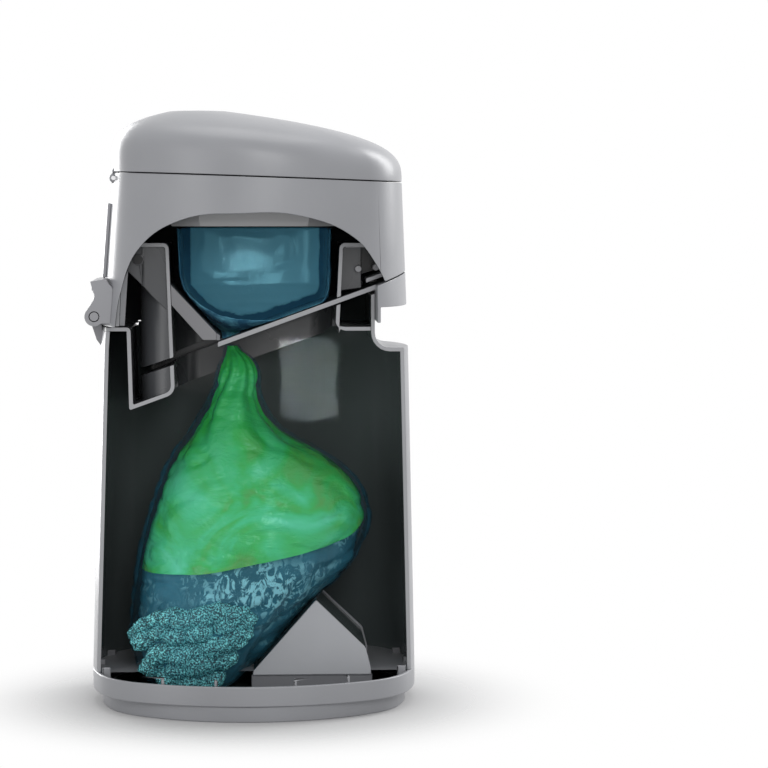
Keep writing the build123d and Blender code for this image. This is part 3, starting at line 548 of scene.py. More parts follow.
def on_cut(centre, normal):
    """True on what the cut laid open."""
    return normal.y < -0.9 and abs(centre.y - CUT_PLANE) < 0.8


def faces_inward(centre, normal):
    """True on the inside of an upright wall."""
    outward = Vector((centre.x, centre.y, 0))
    return outward.length > 0 and normal.dot(outward.normalized()) < -0.25


# %% [markdown]
# The base is one moulding: a foot set back from the rim, a floor, and a ring of fins inside the rim
# that locate the barrel. It is built from level outlines, hollowed from below and from above, and
# the fins are thin blocks kept only inside a ring.

# %% The base
FOOT_HEIGHT, FOOT_INSET, FOOT_SIDE, FLOOR_TOP, FLOOR_THICKNESS = 11.2, 7.0, 1.0, 9.0, 3.0
FIN_TOP, FIN_THICKNESS, FIN_DEPTH = 29.6, 2.2, 6.0
FIN_SIDE_PLACES, FIN_END_PLACES = (-66.0, -28.0, 28.0, 66.0), (-38.0, 0.0, 38.0)


def base_solid(low, high, inset, foot=False):
    """The base between two heights; the foot is set back at its ends, hardly at its sides."""
    rear, front, half_width = SECTIONS[BAND_TOP]
    if foot:
        rear, front, half_width = rear + FOOT_INSET, front - FOOT_INSET, half_width - FOOT_SIDE
    outline = plan_points(rear, front, half_width, inset)
    return to_object(solid_through([[(*p, low) for p in outline], [(*p, high) for p in outline]]), "base")


def locating_fins():
    shelf = FOOT_HEIGHT + WALL
    half = FIN_THICKNESS / 2
    ring = cut(base_solid(shelf - 1, FIN_TOP, WALL + 0.2), base_solid(0, 50, WALL + FIN_DEPTH))
    slabs = [block(x - half, x + half, -REACH, REACH, 0, FIN_TOP) for x in FIN_SIDE_PLACES]
    slabs += [block(-REACH, REACH, y - half, y + half, 0, FIN_TOP) for y in FIN_END_PLACES]
    return keep(ring, join(slabs[0], *slabs[1:]))


def base_pan():
    shelf = FOOT_HEIGHT + WALL
    piece = base_solid(0, FOOT_HEIGHT + 1, 0, foot=True)
    piece = join(piece, base_solid(FOOT_HEIGHT, BAND_TOP, 0))
    piece = cut(piece, base_solid(-5, FLOOR_TOP - FLOOR_THICKNESS, WALL, foot=True))
    piece = cut(piece, base_solid(FLOOR_TOP, 50, WALL, foot=True), base_solid(shelf, 50, WALL))
    piece = join(piece, locating_fins())
    return soften(piece, 0.9, 3, simplify=False, triangles=True)


def base_floor(centre, normal):
    return normal.z > 0.9 and abs(centre.z - FLOOR_TOP) < 1


def far_inside(centre, normal):
    """The inside of the rim and the fins, except those at the cut: where painted shade goes."""
    inwards = centre.x * normal.x + centre.y * normal.y < 0
    return centre.y > CUT_PLANE and (centre.z > BAND_TOP + 0.3 or inwards and centre.z > FLOOR_TOP + 1)


pan = base_pan()
# The floor gets the near-black copy and the inside of the rim and fins get the mid grey: painted shade.
finish_faces(pan, casing_grey, floor=(glossy_painted_shade, base_floor), far=(mid_painted_shade, far_inside))
place(pan, "base", "bin", "base_pan")

# %% [markdown]
# A hollow wedge stands on the floor and tips the bag towards the rear. It is one profile given
# depth, with round shoulders, a plinth that is set back a little, and two thin rims at its far end.

# %% The wedge
WEDGE = [(-2.2, 10), (-1.9, 25), (44.2, 77.4), (80.5, 42.2), (84.3, 27), (84.6, 10)]
WEDGE_RADII, RIDGE_X = (0, 3.5, 1.2, 7.0, 7.0, 0), 44.2
WEDGE_FAR, PLINTH_REAR, PLINTH_FRONT, PLINTH_TOP, PLINTH_BACK = 58.0, -3.0, 85.2, 22.2, 0.8
RIM_PROUD, RIM_PLACES, RIM_FOOT = 1.1, (1.1, 4.2), 26


def floor_wedge():
    body = prism(WEDGE, CUT_PLANE, WEDGE_FAR, WEDGE_RADII)
    plinth = block(PLINTH_REAR, PLINTH_FRONT, CUT_PLANE, WEDGE_FAR, FLOOR_TOP - 0.2, PLINTH_TOP)
    body = join(body, plinth)
    body = cut(body, block(-REACH, REACH, -REACH, CUT_PLANE + PLINTH_BACK, 0, PLINTH_TOP))
    proud = []
    for x, z in WEDGE:
        outward = math.copysign(1, x - RIDGE_X) * (x != RIDGE_X)
        proud.append((x + RIM_PROUD * outward, z + RIM_PROUD * (z > RIM_FOOT)))
    for near in (WEDGE_FAR - back for back in RIM_PLACES):
        body = join(body, prism(proud, near, near + RIM_PROUD, WEDGE_RADII))
    return soften(body, 0.9, 3)


def wedge_slope(centre, normal):
    between_faces = CUT_PLANE + 2 < centre.y < WEDGE_FAR - 4.3
    return abs(normal.y) < 0.35 and between_faces or normal.y > 0.9


def in_plinth(centre, normal):
    return normal.y < -0.5 and centre.z < PLINTH_TOP + 0.5


wedge = floor_wedge()
# The wedge's slope and far end get the near-black copy and its set-back plinth gets the mid grey: painted
# shade.
finish_faces(wedge, wedge_grey, slope=(glossy_painted_shade, wedge_slope), plinth=(mid_painted_shade, in_plinth))
place(wedge, "wedge", "bin", "floor_wedge")

# %% [markdown]
# Inside, everything lies along the slope of the gate, which rises to the front. A few helpers give
# the height of that slope, slabs that lie parallel to it, and the tapering throat above it.

# %% The gate's slope and the throat
GATE_ANGLE, GATE_LEVEL, GATE_THICKNESS = math.radians(19.93), 275.55, 3.5
GATE_REAR, GATE_HALF_WIDTH, GATE_SEAT = -26.6, 62.5, 6.0
RIM_TOP, FRONT_WALL_X, FIT, RUN = 276.6, 87.2, 0.2, 0.6
FLANGE_TOP, FLANGE_THICKNESS = 337.5, 2.9
THROAT_HALF, THROAT_HALF_WIDTH, THROAT_CORNER, THROAT_DRAFT = 64.5, 60.5, 20.0, math.radians(2.9)
REAR_DRAFT = math.radians(2.15)


def gate_height(x, drop=0.0):
    """Height of the gate's upper face at x, or of a plane this far under it."""
    return GATE_LEVEL + math.tan(GATE_ANGLE) * x - drop / math.cos(GATE_ANGLE)


def gate_band(rear, front, top_drop, bottom_drop, near, far, radii=0.0):
    """A slab that lies parallel to the gate."""
    low = [(rear, gate_height(rear, bottom_drop)), (front, gate_height(front, bottom_drop))]
    high = [(front, gate_height(front, top_drop)), (rear, gate_height(rear, top_drop))]
    return prism(low + high, near, far, radii)


def above_gate(drop):
    return gate_band(-REACH, REACH, -REACH, drop, -REACH, REACH)


def throat_end(side, height, inset=0.0):
    """Where the throat's rear (-1) or front (1) wall is at a height."""
    draft = THROAT_DRAFT if side > 0 else REAR_DRAFT
    return side * (THROAT_HALF - (FLANGE_TOP - height) * math.tan(draft) - inset)


def throat(low, high, inset=0.0):
    """The tapering throat between two heights, this far inside its outer face."""
    rings = []
    for z in (low, high):
        width = THROAT_HALF_WIDTH - (FLANGE_TOP - z) * math.tan(THROAT_DRAFT) - inset
        rear, front = throat_end(-1, z, inset), throat_end(1, z, inset)
        corners = [(rear, -width), (front, -width), (front, width), (rear, width)]
        rings.append([(*p, z) for p in rounded(corners, THROAT_CORNER - inset, 8)])
    return to_object(solid_through(rings), "throat")


def rim_end(drop):
    """Where the sloping rim meets the level one."""
    return (RIM_TOP - gate_height(0, drop)) / math.tan(GATE_ANGLE)


print("throat from", throat_end(-1, RIM_TOP), "to", throat_end(1, RIM_TOP), "mm at the rim")

# %% [markdown]
# The barrel is a plain tapering wall. At the front it steps back under the pull handle, with a
# generous radius at the ledge, and its top follows the slope of the gate. Inside it is given a
# near-black finish, painted shade on the grey plastic; being glossy, it makes the long soft
# reflections of the studio lights.

# %% The barrel
SHOULDER_Z, SHOULDER_FILLET, GUTTER_DEPTH, GUTTER_REAR, RIB = 261.5, 11.0, 21.8, -90.7, 3.0


def barrel_profile(inset):
    wall_front = FRONT_WALL_X - inset
    shoulder = SHOULDER_Z - inset
    points = [(-REACH, BAND_TOP), (REACH, BAND_TOP), (REACH, shoulder), (wall_front, shoulder)]
    if inset:
        points += [(wall_front, REACH), (-REACH, REACH)]
    else:
        points += [(wall_front, gate_height(wall_front, GATE_SEAT))]
        points += [(rim_end(GATE_SEAT), RIM_TOP), (-REACH, RIM_TOP)]
    radii = [0] * len(points)
    radii[3] = SHOULDER_FILLET + inset
    return prism(points, radii=radii)


def barrel_shell():
    top = RIM_TOP + 2 * GUTTER_DEPTH
    shell = keep(casing(BAND_TOP, top), barrel_profile(0))
    room = keep(casing(BAND_TOP - 1, top + 1, WALL), barrel_profile(WALL))
    shell = cut(shell, room, block(-REACH, GUTTER_REAR + WALL, -REACH, REACH, RIM_TOP - WALL, REACH))
    rear, front = FRONT_WALL_X - WALL - 8.2, FRONT_WALL_X - WALL / 2
    low = [(x, gate_height(x, GUTTER_DEPTH - FIT) + FIT) for x in (rear, front)]
    rib_top = gate_height(rear, GATE_SEAT)
    near, far = CUT_PLANE + 2 * RIB, CUT_PLANE + 3 * RIB
    rib = prism(low + [(front, rib_top), (rear, rib_top)], near, far, (3, 0, 0, 0))
    return soften(join(cut_open(shell), rib), 0.5)


def inside_barrel(centre, normal):
    """True on the walls that face the bag, but not on the rims."""
    return abs(normal.z) < 0.8 and faces_inward(centre, normal) and centre.z < 300


barrel = barrel_shell()
# The barrel's inner walls get the near-black copy: painted shade.
finish_faces(barrel, casing_grey, inside=(glossy_painted_shade, inside_barrel), cut=(cut_grey, on_cut))
place(barrel, "barrel", "bin", "barrel_shell")

# %% [markdown]
# An insert closes the barrel's top: a gutter that catches what spills, a collar round the
# throat, and a flange that rests on the rim at the rear, with a lip that keeps dust and light out
# of the parting line. Its section is one bent wall, drawn as a profile with round corners. Its
# faces are a dark grey, painted shade under the head; its cut faces show the lighter plastic.

# %% The gutter
COLLAR_DROP, FRONT_FLOOR, SEAL_LIP, STRAIGHT = 4.6, 276.7, 2.6, 38.0
RISE_START, RISE_END, STEP_BACK = THROAT_HALF - 12, THROAT_HALF - 6.8, 1.5
OUTER_BENDS, INNER_BENDS = {1: 8.0, -1: 8.5}, {1: 5.2, -1: 5.7}
WEB_X, WEB_RADIUS = -59.0, 24.0


def round_web():
    """An upright round pillar behind the cut, tangent to it at the throat's rear wall."""
    turns = [2 * math.pi * i / 72 for i in range(72)]
    near = CUT_PLANE + RIB + 1
    ring = [(WEB_X + WEB_RADIUS * math.cos(t), near + WEB_RADIUS * (1 + math.sin(t))) for t in turns]
    pillar = to_object(solid_through([[(*p, z) for p in ring] for z in (200, FLANGE_TOP - 1)]), "pillar")
    return cut(pillar, throat(190, FLANGE_TOP + 5, WALL / 2))


def gutter_section(front, floor_drop):
    """The bent wall of flange, gutter and front floor, stood up from its profile."""
    wall = GUTTER_REAR + WALL
    outer = [
        (-REACH, RIM_TOP - WALL),
        (GUTTER_REAR - STEP_BACK, RIM_TOP - WALL),
        (GUTTER_REAR, gate_height(GUTTER_REAR, floor_drop)),
        (RISE_START, gate_height(RISE_START, floor_drop)),
        (RISE_END, FRONT_FLOOR - WALL),
        (front, FRONT_FLOOR - WALL),
    ]
    inner = [
        (front, FRONT_FLOOR),
        (RISE_END, FRONT_FLOOR),
        (RISE_START, gate_height(RISE_START, GUTTER_DEPTH)),
        (wall, gate_height(wall, GUTTER_DEPTH)),
        (wall - STEP_BACK, RIM_TOP),
        (-REACH, RIM_TOP),
    ]
    return prism(outer + inner, radii=(0, 0.5, 1.2, 0, 0, 0, 0, 0, 0, 1.0, 3.0, 0))


def throat_collar(front, floor_drop):
    """The tube that stands up from the gutter round the throat."""
    low, high = RIM_TOP - 100, FLANGE_TOP
    space = gate_band(GUTTER_REAR, front, COLLAR_DROP, floor_drop, -REACH, REACH)
    turn, under = (RISE_START, gate_height(RISE_START, floor_drop)), FRONT_FLOOR - WALL
    below = prism([turn, (RISE_START, 0), (REACH, 0), (REACH, under), (RISE_END, under)])
    return cut(keep(cut(throat(low, high), throat(low - 1, high + 1, WALL)), space), below)


def round_the_bends(ring, front, floor_drop):
    """Rounds the corners where the gutter and the front floor turn up into the collar."""
    up, rear_in, rear_out = RIM_TOP, throat_end(-1, 228, WALL), throat_end(-1, 231)
    low_corners = {
        1: (throat_end(1, FRONT_FLOOR, WALL), FRONT_FLOOR - WALL),
        -1: (rear_in, gate_height(rear_in, floor_drop)),
    }
    high_corners = {
        1: (throat_end(1, FRONT_FLOOR), FRONT_FLOOR),
        -1: (rear_out, gate_height(rear_out, GUTTER_DEPTH)),
    }
    low_away = {1: (front, FRONT_FLOOR - WALL), -1: (GUTTER_REAR, gate_height(GUTTER_REAR, floor_drop))}
    high_away = {1: (front, FRONT_FLOOR), -1: (GUTTER_REAR, gate_height(GUTTER_REAR, GUTTER_DEPTH))}
    for side, radius in OUTER_BENDS.items():
        wall_top = (throat_end(side, up, WALL), up)
        corner, away = low_corners[side], low_away[side]
        ring = cut(ring, arc_corner(wall_top, corner, away, radius, CUT_PLANE - 1, STRAIGHT))
    for side, radius in INNER_BENDS.items():
        wall_top = (throat_end(side, up), up)
        corner, away = high_corners[side], high_away[side]
        ring = join(ring, arc_corner(wall_top, corner, away, radius, CUT_PLANE, STRAIGHT))
    return ring


def deck_ring():
    floor_drop = GUTTER_DEPTH + WALL
    front, wall = FRONT_WALL_X - WALL - FIT, GUTTER_REAR + WALL
    ring = gutter_section(front, floor_drop)
    inside = casing(BAND_TOP, RIM_TOP + GUTTER_DEPTH, WALL + FIT)
    flange = casing(RIM_TOP - WALL - 0.5, RIM_TOP + 1)
    ring = keep(ring, join(inside, keep(flange, block(-REACH, wall, -REACH, REACH, 0, REACH))))
    collar = throat_collar(front, floor_drop)
    ring = join(cut(ring, throat(RIM_TOP - 100, FLANGE_TOP, WALL)), collar)
    lip = casing(RIM_TOP - 1, RIM_TOP + SEAL_LIP, WALL + 0.5)
    lip = cut(lip, casing(RIM_TOP - 2, RIM_TOP + 5, WALL + 2.2))
    ring = cut_open(join(ring, keep(lip, block(-REACH, wall, -REACH, REACH, 0, REACH))))
    ring = round_the_bends(ring, front, floor_drop)
    web_space = cut(block(-REACH, -50, -REACH, REACH, 200, 280), above_gate(COLLAR_DROP))
    web = keep(round_web(), web_space)
    floor_line = [(x, gate_height(x, GUTTER_DEPTH + 1)) for x in (0, -REACH)]
    floor_under = prism([(-REACH, 100), (0, 100)] + floor_line)
    return soften(join(ring, cut(web, floor_under)), 0.22, simplify=False)


gutter = deck_ring()
finish_faces(gutter, dark_painted_shade, cut=(cut_grey, on_cut))
place(gutter, "gutter", "bin", "deck_ring")

# %% [markdown]
# The head is one smooth moulding. Its lower edge runs level at the rear and then along the slope of
# the gate; an arch with a flat crown is cut through its near side; and its wall stops at the lid's
# slanting seam.

# %% The head
SEAM_RISE, SEAM_LEVEL, PARTING_GAP, HANDLE_BACK = -0.0352, 385.0, 0.8, 87.6
LID_PIN_X, LID_PIN_Z, LID_PIN_RADIUS, LID_KNUCKLE_RADIUS, LID_KNUCKLE_HALF = -101.2, 384.2, 1.6, 3.4, 5.5
LID_KNUCKLES, BORE_PLAY = (-18.0, 18.0), 0.06
HINGE_X, HINGE_Z, HINGE_PIN_RADIUS, HINGE_PIN_HALF = -115.0, 284.8, 2.6, 29.0
KNUCKLE_RADIUS, KNUCKLE_SPLIT = 5.9, 13.0
STRIP_TOP, STRIP_DEPTH = 306, 3
ARCH = [(-101, 264.6), (-95.3, 302.7), (-80.6, 335.4), (-51.4, 354.3), (-10, 359), (34.1, 357), (71.9, 341)]
ARCH += [(86.7, 322.7), (98.2, 300)]


def seam_height(x):
    return SEAM_LEVEL + SEAM_RISE * x


def under_seam(gap):
    """All that lies more than this gap under the lid's seam."""
    seam = [(x, seam_height(x) - gap) for x in (REACH, -REACH)]
    return prism([(-REACH, -REACH), (REACH, -REACH)] + seam)


def smooth_line(points, steps=8):
    """Points along a curve through the given ones, read from a Blender curve."""
    curve = bpy.data.curves.new("line", "CURVE")
    curve.dimensions, curve.resolution_u = "3D", steps
    spline = curve.splines.new("BEZIER")
    spline.bezier_points.add(len(points) - 1)
    for handle, (x, z) in zip(spline.bezier_points, points):
        handle.co = (x, 0, z)
        handle.handle_left_type = handle.handle_right_type = "AUTO"
    holder = bpy.data.objects.new("line", curve)
    mesh = bpy.data.meshes.new_from_object(holder)
    line = [(v.co.x, v.co.z) for v in mesh.vertices]
    bpy.data.objects.remove(holder)
    return line


def head_outline():
    """The head from the near side: level at the rear, then along the gate, up to no end."""
    drop, bottom, step = GATE_SEAT - PARTING_GAP, RIM_TOP + PARTING_GAP, HANDLE_BACK - RUN
    corner = (bottom - gate_height(0, drop)) / math.tan(GATE_ANGLE)
    outline = [(-REACH, bottom), (corner, bottom), (step, gate_height(step, drop))]
    outline += [(x, gate_height(x, -PARTING_GAP)) for x in (step, REACH)]
    return prism(outline + [(REACH, REACH), (-REACH, REACH)])


def lid_pin_seat(shell):
    """Cuts the gaps for the lid's knuckles, leaves the head's own one and bores it."""
    side, front = LID_KNUCKLE_HALF + RUN, LID_PIN_X + LID_KNUCKLE_RADIUS + RUN
    for y in LID_KNUCKLES:
        shell = cut(shell, rod(LID_PIN_X, LID_PIN_Z, LID_KNUCKLE_RADIUS + RUN, y - side, y + side))
        shell = cut(shell, block(LID_PIN_X - 5, front, y - side, y + side, LID_PIN_Z, REACH))
    own = rod(LID_PIN_X, LID_PIN_Z, LID_KNUCKLE_RADIUS, -LID_KNUCKLE_HALF, LID_KNUCKLE_HALF)
    return cut(join(shell, own), rod(LID_PIN_X, LID_PIN_Z, LID_PIN_RADIUS + BORE_PLAY, -REACH, REACH))


def arch_foot(shell):
    """Thickens the arch's rear foot with two strips and what fills the corner behind them."""
    bottom, depth = RIM_TOP + PARTING_GAP, STRIP_DEPTH
    front = [(-100.6, bottom), (-97.4, bottom), (-96.1, STRIP_TOP), (-97.6, STRIP_TOP)]
    rear = [(-98.5, bottom), (-93.6, bottom), (-90.8, 319), (-96.2, STRIP_TOP)]
    front_strip = prism(front, CUT_PLANE, CUT_PLANE + depth)
    rear_strip = prism(rear, CUT_PLANE + depth, CUT_PLANE + 2 * depth)
    fill = block(-112, -97.4, CUT_PLANE + depth + 1, CUT_PLANE + 2 * depth, bottom, STRIP_TOP)
    return join(shell, front_strip, rear_strip, keep(fill, casing(RIM_TOP, SEAM_LEVEL, WALL / 2)))


def head_shell():
    shell = cut(casing(RIM_TOP - WALL, SEAM_LEVEL + 10), casing(RIM_TOP - 10, SEAM_LEVEL + 20, WALL))
    shell = keep(shell, head_outline())
    ledge = gate_band(FRONT_WALL_X - 6.5, REACH, -6.4, -3.5, CUT_PLANE, GATE_HALF_WIDTH)
    shell = join(shell, keep(ledge, casing(RIM_TOP, SEAM_LEVEL, WALL / 2)))
    arch = smooth_line(ARCH)
    shell = cut(shell, prism([(arch[0][0], 220)] + arch + [(arch[-1][0], 220)], -REACH, CUT_PLANE))
    shell = keep(shell, under_seam(PARTING_GAP / 2))
    swing = [(-REACH, seam_height(-REACH) - 3.4), (-99.1, seam_height(-103.6) - 0.4), (-REACH, 2 * REACH)]
    shell = arch_foot(lid_pin_seat(cut(shell, prism(swing))))
    pocket = rod(HINGE_X, HINGE_Z, KNUCKLE_RADIUS + RUN, -HINGE_PIN_HALF - 4, HINGE_PIN_HALF + RUN)
    return soften(cut(shell, pocket), 0.6)


def inside_head(centre, normal):
    return faces_inward(centre, normal) and abs(normal.z) < 0.7


head = head_shell()
# The head's inner walls get the dark grey: painted shade.
finish_faces(head, casing_grey, inside=(dark_painted_shade, inside_head), cut=(cut_grey, on_cut))
place(head, "head", "head", "head_shell")

# %% [markdown]
# At the rear a bracket is screwed to the head. Its two knuckles turn on a pin that a lug on the
# barrel holds. The side of each arm has a waist, and its top ends in a small lip.

# %% The hinge bracket and the cover above it
STRAP_TOP, STRAP_RADIUS, STRAP_HALF, STRAP_ROOT = 312.0, 6.9, 45.0, -100.2
SCREW_RADIUS, SCREW_RISE, SCREW_PLACES = 3.2, 20.5, (-20.0, 20.0)
ARM_RADII = (0, 0, 4, 6, 3, 1.6, 3.0, 6.0, 0)


def hinge_bracket():
    x, z = HINGE_X, HINGE_Z
    arm_root = [(x, z - 5), (STRAP_ROOT, z - 5), (STRAP_ROOT - 0.6, z + 12)]
    arm_top = [(STRAP_ROOT - 2, STRAP_TOP - 6), (STRAP_ROOT - 7, STRAP_TOP), (x - 2.6, STRAP_TOP - 2.0)]
    arm_back = [(x - 0.2, STRAP_TOP - 6), (x + 0.4, STRAP_TOP - 14), (x - STRAP_RADIUS * 0.8, z + 4)]
    split = KNUCKLE_SPLIT + 0.3
    sides = []
    for near, far in ((-STRAP_HALF, -split), (split, STRAP_HALF)):
        arm = prism(arm_root + arm_top + arm_back, near, far, ARM_RADII)
        sides.append(join(arm, rod(x, z, STRAP_RADIUS, near, far, 64)))
    bridge = arm_top + [(x - 0.4, z + 17), (STRAP_ROOT, z + 17)]
    strap = join(sides[0], sides[1], prism(bridge, -STRAP_HALF, STRAP_HALF))
    strap = cut(strap, casing(BAND_TOP, LID_BASE))
    for y in SCREW_PLACES:
        strap = cut(strap, rod_along_x(y, z + SCREW_RISE, SCREW_RADIUS + FIT, x - 9, x + 0.2))
    strap = soften(cut(strap, rod(x, z, HINGE_PIN_RADIUS + 1.2, -REACH, REACH, 48)), 0.4)
    for vert in strap.data.vertices:
        vert.co.z = max(vert.co.z, (z - STRAP_RADIUS) * MM)
    return strap


def hinge_bar():
    """The pin, with its round end almost flush with the near arm."""
    half = STRAP_HALF - 0.3
    return soften(rod(HINGE_X, HINGE_Z, HINGE_PIN_RADIUS + 0.7, -half, half, 48), 0.5)


def spine_strip():
    strip = cut(casing(STRAP_TOP + FIT, LID_BASE - 17, -2.5), casing(STRAP_TOP - 5, LID_BASE, 0))
    return soften(keep(strip, block(-REACH, 0, -20, 20, 0, REACH)), 0.7, 3)


bracket = hinge_bracket()
finish_faces(bracket, hinge_grey)
place(bracket, "hinge_bracket", "head", "hinge_strap")
bar = hinge_bar()
finish_faces(bar, hinge_grey)
place(bar, "hinge_bar", "bin", "hinge_pin")
strip = spine_strip()
finish_faces(strip, casing_grey)
place(strip, "spine_strip", "head", "spine_cover")

# %% [markdown]
# The throat liner hangs in the head: a flange all round, and below it a tube that tapers towards
# the gate. In section it reads as an upside-down U at the rear and at the front, with soft corners.
# Three ribs stand across the channels.

# %% The throat liner
PEG_RADIUS, PEG_PLACES, WEB_Y = 2.2, ((75.3, 318.6), (88.2, 319.6)), 10.0
BOSS_X, BOSS_Z, BOSS_RADIUS = -83.6, 325.5, 1.5
LEG_LOW, LEG_REACH, TOP_BEND, UNDER_BEND = 300, 90, 4.4, 1.8


def ring_groove(x, z, inner, outer, face, depth):
    """A round groove in a face that looks at the viewer."""
    return cut(rod(x, z, outer, face - 1, face + depth), rod(x, z, inner, face - 2, face + depth + 1))


def throat_liner():
    low, under = RIM_TOP - 60, FLANGE_TOP - FLANGE_THICKNESS
    flange = casing(under, FLANGE_TOP, WALL + FIT)
    tube = keep(throat(low, under + 1), above_gate(-RUN))
    top = under + 1
    rear_rib = [(-62.1, top), (-91.5, top), (-91.5, 317.5), (-74, 299.5), (-61, 287)]
    front_rib = [(60.1, top), (60.1, gate_height(71.6, -1)), (77.6, gate_height(77.6, -1)), (77.6, top)]
    web = [(60.6, top), (60.6, gate_height(THROAT_HALF, -8)), (94.2, gate_height(94.2, -8)), (94.2, top)]
    liner = cut(cut_open(join(flange, tube)), throat(low - 5, FLANGE_TOP + 5, WALL))
    liner = join(liner, prism(rear_rib, CUT_PLANE + RIB, CUT_PLANE + 2 * RIB))
    liner = join(liner, keep(round_web(), above_gate(-RUN)))
    face = CUT_PLANE + RIB
    bead = block(-80.7, -79.5, face - 0.9, face + 0.2, 307, under)
    boss = ring_groove(BOSS_X, BOSS_Z, 2.6, 4.2, face - 0.9, 0.4)
    liner = join(liner, bead, keep(boss, block(-REACH, REACH, face - 1, face + 1, 0, REACH)))
    liner = join(liner, prism(front_rib, CUT_PLANE + 3 * RIB, CUT_PLANE + 4 * RIB))
    liner = join(liner, prism(web, WEB_Y, WEB_Y + RIB))
    liner = cut(liner, throat(low - 5, FLANGE_TOP + 5, WALL))
    for x, z in PEG_PLACES:
        liner = cut(liner, rod(x, z, PEG_RADIUS + BORE_PLAY, -REACH, WEB_Y - 0.1))
    liner = cut(liner, rod(BOSS_X, BOSS_Z, BOSS_RADIUS, -REACH, 0))
    for side in (-1, 1):
        inner, outer = (throat_end(side, FLANGE_TOP, WALL), FLANGE_TOP), (throat_end(side, under), under)
        low_in, low_out = ((throat_end(side, LEG_LOW, inset), LEG_LOW) for inset in (WALL, 0.0))
        over, beneath = (side * LEG_REACH, FLANGE_TOP), (side * LEG_REACH, under)
        liner = cut(liner, arc_corner(low_in, inner, over, TOP_BEND, CUT_PLANE - 1, STRAIGHT))
        liner = join(liner, arc_corner(low_out, outer, beneath, UNDER_BEND, CUT_PLANE, CUT_PLANE + RIB))
    liner = soften(liner, 0.4, simplify=False, triangles=True)
    for vert in liner.data.vertices:
        vert.co.z = min(vert.co.z, FLANGE_TOP * MM)
    return liner


liner = throat_liner()
# The liner's dark grey is painted shade for the shadowed throat; its cut faces are lighter.
finish_faces(liner, dark_painted_shade, cut=(cut_grey, on_cut))
place(liner, "liner", "head", "throat_liner")

# %% [markdown]
# The ramp behind the throat is the fixed jaw that the gate closes against.

# %% The fixed jaw
JAW_TIP_X, JAW_HEEL_TOP, JAW_HEEL_BOTTOM = -27.4, 307.5, 292.7


def rear_jaw():
    heel, low = (throat_end(-1, z, WALL + FIT) for z in (JAW_HEEL_TOP, JAW_HEEL_BOTTOM))
    tip_z = gate_height(JAW_TIP_X, -RUN - 1.0)
    points = [(heel, JAW_HEEL_TOP), (low, JAW_HEEL_BOTTOM), (JAW_TIP_X - 9.8, tip_z)]
    points += [(JAW_TIP_X, tip_z), (JAW_TIP_X, tip_z + 5)]
    ramp = prism(points, CUT_PLANE, REACH, (0, 0, 2.5, 0, 0))
    return soften(keep(ramp, throat(RIM_TOP - 60, FLANGE_TOP, WALL + FIT)), 0.6)


jaw = rear_jaw()
# The jaw's darker grey is painted shade for the throat's shadow.
finish_faces(jaw, jaw_painted_shade)
place(jaw, "fixed_jaw", "head", "rear_jaw")

# %% [markdown]
# Clean film waits in an eight-sided tray above the throat. The tray is lofted through level
# outlines, so that its foot draws in a little, and hollowed to a channel. The film lies in it in
# pleats: a loft that steps in and out.

# %% The film tray
TRAY_TOP, TRAY_LOW, TRAY_HALF, TRAY_HOLE, TRAY_CHAMFER = 370.0, 349.6, 61.0, 46.0, 22.0
TRAY_WALL, TRAY_RIM, TRAY_FOOT, DECK_TOP, PLEATS = 1.8, 6.0, 4.5, 365.0, 6


def eight_sides(half, height):
    """A level outline with eight sides, as wide as it is deep."""
    short = half - TRAY_CHAMFER * half / TRAY_HALF
    corners = [(half, -short), (half, short), (short, half), (-short, half)]
    corners += [(-half, short), (-half, -short), (-short, -half), (short, -half)]
    return [(*p, height) for p in corners]


def eight_sided(levels):
    """A solid through such outlines, each given by half its width and its height."""
    return to_object(solid_through([eight_sides(*level) for level in levels]), "eight_sided")


def film_tray():
    foot, floor_z, above = TRAY_LOW + TRAY_FOOT, TRAY_LOW + TRAY_WALL + 0.4, TRAY_TOP + 5
    outer = eight_sided([(TRAY_HALF - 1.6, TRAY_LOW), (TRAY_HALF, foot), (TRAY_HALF, TRAY_TOP)])
    rim = eight_sided([(TRAY_HALF + TRAY_RIM, z) for z in (DECK_TOP, DECK_TOP + TRAY_WALL)])
    hole = eight_sided([(TRAY_HOLE, z) for z in (TRAY_LOW - 5, above)])
    inside = TRAY_HALF - TRAY_WALL
    channel = eight_sided([(TRAY_HALF - 3, floor_z), (inside, floor_z + 3), (inside, above)])
    core = eight_sided([(TRAY_HOLE + TRAY_WALL, z) for z in (0, TRAY_TOP + 9)])
    return soften(cut(join(outer, rim), hole, cut(channel, core)), 0.5)


def pleated_pack():
    low, count = TRAY_LOW + TRAY_WALL + 1.0, 2 * PLEATS
    step = (TRAY_TOP - TRAY_LOW - 5.0) / count
    outer, inner = TRAY_HALF - TRAY_WALL, TRAY_HOLE + TRAY_WALL
    outside = [(outer - (1.4 if i % 2 else 3.2), low + i * step) for i in range(count + 1)]
    inside = [(inner + (0.8 if i % 2 else 2.6), low + (i - 0.1) * step * 1.02) for i in range(count + 2)]
    return soften(cut(eight_sided(outside), eight_sided(inside)), 0.25, 2, 20)


# %% [markdown]
# From the tray the film hangs down through the throat like a sack, lies on the gate and is gathered
# through the notch at its rear. It is lofted through level outlines that change from nearly square
# to round; where they would sink into the gate or the jaw they are lifted on to it. Its near part is
# cut away, and what is left gets the thickness of film.

